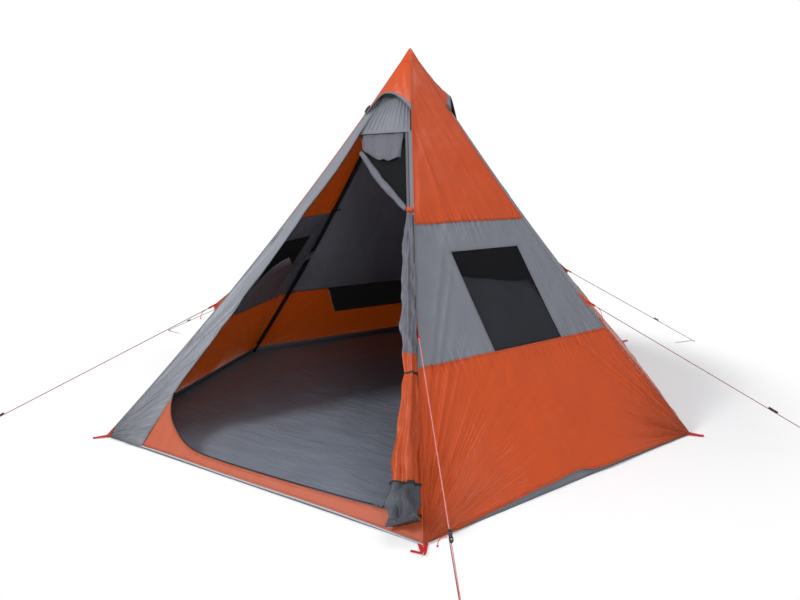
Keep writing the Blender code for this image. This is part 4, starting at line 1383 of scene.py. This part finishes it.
bm = ringed_tube(48, 18)
for vert in bm.verts:
    rise, angle = vert.co.z + 0.5, math.atan2(vert.co.y, vert.co.x)
    outside = CAP_SWELL * min(1.0, 0.1 + 3 * rise) * math.sqrt(max(0.0, 1 - rise**10))
    away = np.array((math.cos(angle) * outside, math.sin(angle) * outside, 0.004 * rise))
    vert.co = cap_section(angle, CAP_FOOT + rise * (1 - CAP_FOOT)) + away
lay_uv(bm, lambda spot: spot.xz)
bmesh.ops.remove_doubles(bm, verts=bm.verts, dist=0.00005)
bmesh.ops.recalc_face_normals(bm, faces=bm.faces)
add_piece("tip_cap", to_mesh(bm, "tip_cap"), "orange_cloth", replaced="peak_cap")
tell("tip")

# %% [markdown]
# ## The floor
#
# The groundsheet is one heavier coated cloth, laid loose, so it creases in long shallow ridges.
# Its edge turns up behind the canopy's hems like the side of a tub.
# We cut a plain grid to the six-sided plan with bisecting planes, and then lift its creases.

# %% Groundsheet
FLOOR_CLOTH = 0.0012
FLOOR_DRAWN_IN = 0.992
WALL_FOOT, WALL_HEIGHT, WALL_INSET = 0.002, 0.073, 0.004
plan = np.array([ground(corner) for corner in CORNERS])
edges = [(spot, after - spot) for spot, after in zip(plan, np.roll(plan, -1, axis=0))]
low, high = plan.min(axis=0), plan.max(axis=0)
bm = bmesh.new()
bmesh.ops.create_grid(bm, x_segments=170, y_segments=170, size=0.5 * max(high[:2] - low[:2]))
bmesh.ops.translate(bm, verts=bm.verts, vec=Vector((*(0.5 * (low + high))[:2], 0)))
for spot, along in edges:
    bmesh.ops.bisect_plane(
        bm, geom=bm.verts[:] + bm.edges[:] + bm.faces[:], plane_co=Vector(spot),
        plane_no=Vector((along[1], -along[0], 0)), clear_outer=True,
    )


def edge_distance(x, y):
    """Distance from the nearest edge of the plan, on the inside."""
    ways = [(spot, unit(along)) for spot, along in edges]
    return np.min([(y - spot[1]) * way[0] - (x - spot[0]) * way[1] for spot, way in ways], axis=0)


def floor_creases(x, y):
    """Long creases that run across the doorway, and finer ones."""
    draw = np.random.default_rng(5)
    height = 0.0010 * wander(x, y, 81, 0.2, 0.7, 9.0, 14) / 0.09
    for _ in range(16):
        angle = draw.normal(0.35, 0.35)
        middle = draw.random(2) * (1.6, 2.4) - (0.8, 1.7)
        along = (x - middle[0]) * math.cos(angle) + (y - middle[1]) * math.sin(angle)
        across = -(x - middle[0]) * math.sin(angle) + (y - middle[1]) * math.cos(angle)
        across = across + 0.05 * np.sin(4 * along + middle[0])
        width, length = 0.012 + 0.02 * draw.random(), 0.3 + 0.3 * draw.random()
        height += 0.0035 * np.exp(-((across / width) ** 2)) * np.exp(-((along / length) ** 2))
    return height


def place_floor(x, y):
    inside = ease(edge_distance(x, y) / 0.12)
    height = 0.0016 + inside * (0.0012 + np.clip(floor_creases(x, y), -0.001, 0.007))
    return np.stack((FLOOR_DRAWN_IN * x, PEAK_Y + FLOOR_DRAWN_IN * (y - PEAK_Y), height), axis=1)


sheet_piece = sew(
    "floor_cloth_sheet", bm, place_floor, "floor_cloth", "groundsheet",
    thickness=FLOOR_CLOTH,
)
for name, face in faces.items():
    def wall_sides(y, face=face):
        left, right = face.sides(y)
        return left + WALL_INSET, right - WALL_INSET

    def wall_place(x, y, face=face):
        folds = 0.0018 * np.sin(23 * x + 3 * np.sin(7 * x)) * ease(y / 0.02)
        return face.place(x, y, folds - 0.0105)

    wall = flat_grid(90, 4, ruled(WALL_FOOT, WALL_FOOT + WALL_HEIGHT, wall_sides))[0]
    sew(f"{name}_tub_wall", wall, wall_place, "grey_cloth")
tell("floor")

# %% [markdown]
# ## Window covers
#
# Each window has a cover of plain cloth on the inside, zipped on three sides.
# Both are unzipped and hang away from the mesh. The right one is shorter and its top edge slopes,
# the left one is taller and sags in the middle.
# They turn on their bottom edge, so each rides on its own moving body.


# %% Covers
COVER_MARGIN, COVER_GAP = 0.02, 0.0036


def cover(name, height_share, droop, tilt, lean, material, seed):
    face = faces[name]
    low, high = window_corners(name)
    width, height = WINDOW_WIDTH + 2 * COVER_MARGIN, height_share * WINDOW_HEIGHT
    bm, across, up = flat_grid(60, 50, lambda across, up: ((across - 0.5) * width, up * height))

    def place(x, y):
        edge = 2 * across - 1
        sag = (droop * (1 - edge**2) + tilt * edge) * up**2
        fold = 0.008 * np.sin(3 * math.pi * across) * up**2
        fold += 0.002 * np.sin(19 * across + 8 * up + seed) * up
        inset = COVER_GAP + lean * up**4 + fold
        return face.place(0.5 * (low[0] + high[0]) + x, low[1] + height * up - sag, -inset)

    sew(
        f"{name}_cover_cloth", bm, place, material,
        f"{name}_window_cover", f"{name}_window_cover_body",
    )


# The right cover wears the brighter, bluer copy of the grey cloth, painted light; the left one wears the
# plain grey.
cover("right", 0.759, 0.025, 0.050, 0.05, "cover_cloth", 1.0)
cover("left", 0.914, 0.09, 0.0, 0.09, "grey_cloth", 2.0)
tell("covers")

# %% [markdown]
# ## Ridge seams
#
# The faces are sewn together along the ridges in a rounded seam.
# A thin rod of the same cloth stands for it, in the colours of the bands beside it.
# Inside, a flat black binding covers the seam between the cloth and the pole.

# %% Ridge piping
SEAM_TOP = 0.956
BINDING_INSET = 0.0098
SPANS = (
    (0.006, LOWER_SEAM, "orange_cloth"),
    (LOWER_SEAM, UPPER_SEAM, "grey_cloth"),
    (UPPER_SEAM, SEAM_TOP, "orange_cloth"),
)
for corner in CORNERS:
    for index, (first, last, material) in enumerate(SPANS):
        beside_strip = corner == "front_left" and index == 0
        path = ridge(corner, np.linspace(first, last, 40), -0.0006)
        material = "pale_grey_cloth" if beside_strip else material
        rod(f"{corner}_seam_{index + 1}", path, 0.0024, 8, material, outward(corner))
    path = ridge(corner, np.linspace(0.045, 0.95, 48), BINDING_INSET)
    rod(f"{corner}_seam_binding", path, 0.0036, 12, "zip_tape", outward(corner), aspect=3.2)
tell("ridge seams")

# %% [markdown]
# ## Guy tabs and webbing
#
# Each guy line is tied to a red loop of webbing, which a triangle of orange cloth spreads into the
# ridge seam. Red loops also hold the pegs at the floor's corners.
# A strap is a flat rod: the same helper with one side stretched.

# %% Tabs
TAB_LOW, TAB_HIGH = 0.318, 0.370
TAB_REACH, TAB_TIP = 0.058, 0.007
STRAP_LENGTH = 0.035
LOOP_THICKNESS = 0.0034


def strap(name, start, end, width, thickness=LOOP_THICKNESS, normal=UP):
    points, flat = np.linspace(start, end, 8), width / thickness
    rod(name, points, 0.5 * thickness, 20, "red_webbing", normal, aspect=flat)


def knot(name, spot, size, body="tent"):
    """A small lump of wound cord: a ball pressed into three lobes."""
    bm = bmesh.new()
    bmesh.ops.create_icosphere(bm, subdivisions=3, radius=1)
    for vert in bm.verts:
        lobes = 1 + 0.22 * math.sin(4 * vert.co.x + 3 * vert.co.z) * math.cos(5 * vert.co.y)
        vert.co = Vector(spot) + Vector((vert.co.x, vert.co.y, 0.72 * vert.co.z)) * size * lobes
    lay_uv(bm, lambda spot: spot.xz)
    return add_piece(name, to_mesh(bm, name), "red_webbing", body)


def guy_tab(corner, peg):
    """The triangle of cloth on a ridge, pulled toward its peg, with its strap."""
    low, high = (ridge(corner, share)[0] for share in (TAB_LOW, TAB_HIGH))
    middle = 0.5 * (low + high)
    direction = unit(peg - ridge(corner, 0.5 * (TAB_LOW + TAB_HIGH))[0])
    along, normal = unit(high - low), unit(np.cross(high - low, direction))
    out = np.cross(normal, along)
    lean, reach = TAB_REACH * direction @ along, TAB_REACH * direction @ out

    def outline(side, up):
        half = 0.5 * np.linalg.norm(high - low) * (1 - up) + TAB_TIP * up
        return (2 * side - 1) * half + lean * up, reach * up

    def place(x, y):
        ripple = 0.0015 * np.sin(60 * x) * (y / reach)
        return middle + np.outer(x, along) + np.outer(y, out) + np.outer(ripple, normal)

    sew(
        f"{corner}_tab_cloth", flat_grid(10, 10, outline)[0], place, "orange_cloth",
        f"guy_tab_{corner}", thickness=0.0016, offset=0.0,
    )
    tip = middle + direction * TAB_REACH
    start, end = tip - 0.02 * direction, tip + STRAP_LENGTH * direction
    strap(f"{corner}_tab_strap", start, end, 0.011, 0.0024, normal)
    knot(f"{corner}_tab_knot", tip + (STRAP_LENGTH - 0.004) * direction, 0.0068)


def floor_loop(corner):
    """The loop of webbing at a corner of the floor, two straps that meet in a knot."""
    out = outward(corner)
    across = np.array((-out[1], out[0], 0.0))
    spot = ground(corner) + (0, 0, 0.004)
    tip = spot + 0.058 * out
    for index, side in enumerate((-1, 1)):
        start = spot - 0.012 * out + 0.013 * side * across
        strap(f"{corner}_floor_loop_{index + 1}", start, tip + 0.002 * side * across, 0.017)
    knot(f"{corner}_floor_knot", tip, 0.0075)
    return tip


for corner, peg in PEGS.items():
    guy_tab(corner, on_ground(*peg))
    tip = floor_loop(corner)
    if corner == "front_right":
        strap("front_right_loop_tail", tip, tip + (-0.052, -0.010, 0.0), 0.015)
        peg = tip + np.array(((0.002, -0.002, 0.010), (0.004, -0.012, 0.004), (0.006, -0.020, 0.002)))
        rod("front_right_corner_peg", peg, 0.0028, 10, "bright_wire")
tell("tabs and loops")

# %% [markdown]
# ## Loose ends of cord
#
# Three of the guy lines leave a short red tail: one at the adjuster beside the door,
# and one that hangs from a tab on each side. Every tail ends in a knot.
# A tail is a curve like the guy lines, but it bends down under its own weight.

# %% Cord tails
TAILS = (  # name, start, the way it leaves, length, body
    ("side_right_tail", (1.170, -0.1418, 0.6690), (0.8, -0.4, -0.2), 0.085, "tent"),
    ("front_left_tail", (-0.718, -1.3420, 0.6700), (-0.5, -0.6, -0.2), 0.060, "tent"),
    ("front_right_tail", (1.3080, -2.1150, 0.2630), (-0.85, -0.5, 0.25), 0.052, "adjuster_front_right_body"),
)
TAIL_STEPS = 18

for name, start, push, length, body in TAILS:
    push, spots = Vector(push).normalized(), [Vector(start)]
    for step in range(TAIL_STEPS):
        fall = (step / TAIL_STEPS) ** 0.8
        way = (push * (1 - fall) - UP * fall * 1.2).normalized()
        spots.append(spots[-1] + way * length / TAIL_STEPS)
    line = cord(name, spots, THIN_CORD, "bright_red_cord", body)
    end = knot(f"{name}_knot", spots[-1], 0.0042, body)
tell("tails")

# %% [markdown]
# ## Pole joints and elastic ties
#
# The poles come apart into sections, so each has two slightly wider joints.
# At two heights a black elastic cord holds the pole to its seam: a V from the cloth on either side
# round the pole, with a short sleeve where it passes.
# Joints and sleeves are short rods on the pole's own line.

# %% Poles
POLE_INSET = 0.024
JOINTS, JOINT_RADIUS = (0.36, 0.69), 0.0112
TIES, SLEEVE_RADIUS = (0.27, 0.565), 0.0118


def on_pole(name, corner, share, length, radius, material):
    half = 0.5 * length / math.hypot(math.hypot(*CORNERS[corner]), PEAK_HEIGHT)
    path = ridge(corner, np.linspace(share - half, share + half, 6), POLE_INSET)
    rod(name, path, radius, 20, material, outward(corner))


for corner in CORNERS:
    for index, share in enumerate(JOINTS):
        on_pole(f"{corner}_pole_joint_{index + 1}", corner, share, 0.040, JOINT_RADIUS, "steel_tube")
    for index, share in enumerate(TIES):
        on_pole(f"{corner}_tie_loop_{index + 1}", corner, share, 0.010, SLEEVE_RADIUS, "zip_tape")
        centre, ends = ridge(corner, share, POLE_INSET)[0], []
        for face in faces.values():
            if corner in (face.left, face.right):
                inward = face.axes[0] if corner == face.left else -face.axes[0]
                ends.append(ridge(corner, share, 0.006)[0] + 0.055 * inward - 0.006 * face.axes[2])
        points = (ends[0], 0.5 * (ends[0] + centre), centre, 0.5 * (centre + ends[1]), ends[1])
        tie = along_polyline(points, 24)
        rod(f"{corner}_elastic_tie_{index + 1}", tie, 0.0040, 8, "zip_tape", outward(corner))
on_pole("side_left_bright_joint", "side_left", 0.735, 0.022, 0.0116, "bright_wire")
tell("pole joints and ties")

# %% [markdown]
# ## Zip slider
#
# The slider is a small black body that rides on the sill's zip, with a flat pull.
# Five small bevelled boxes make it, all in the slider's own frame: an upper and a lower plate, the
# post between them, the bridge, and the pull.

# %% Slider
SLIDER_X = 0.80
BOXES = (  # size, place
    ((0.024, 0.012, 0.0026), (0, 0, 0.0017)),
    ((0.024, 0.012, 0.0022), (0, 0, -0.0019)),
    ((0.008, 0.0032, 0.0050), (0.004, 0, 0.0)),
    ((0.012, 0.0030, 0.0016), (-0.002, 0, 0.0042)),
    ((0.030, 0.0065, 0.0018), (-0.023, 0, 0.0040)),
)
slider_y = float(np.interp(SLIDER_X, zip_curve[:, 0], zip_curve[:, 1]))
slider_spot = door.place(SLIDER_X, slider_y, 0.0050)[0]
bm = bmesh.new()
for size, offset in BOXES:
    made = bmesh.ops.create_cube(bm, size=1)["verts"]
    bmesh.ops.scale(bm, verts=made, vec=size)
    bmesh.ops.translate(bm, verts=made, vec=offset)
bmesh.ops.bevel(
    bm, geom=bm.edges[:], offset=0.0007, affect="EDGES", segments=3, profile=0.5, material=-1
)
bmesh.ops.transform(bm, matrix=placed(slider_spot, *door.axes.tolist()), verts=bm.verts)
mesh = to_mesh(bm, "zip_slider")
add_piece("zip_slider", mesh, "black_plastic", "door_zip_slider_body", "door_zip_slider")
tell("slider")
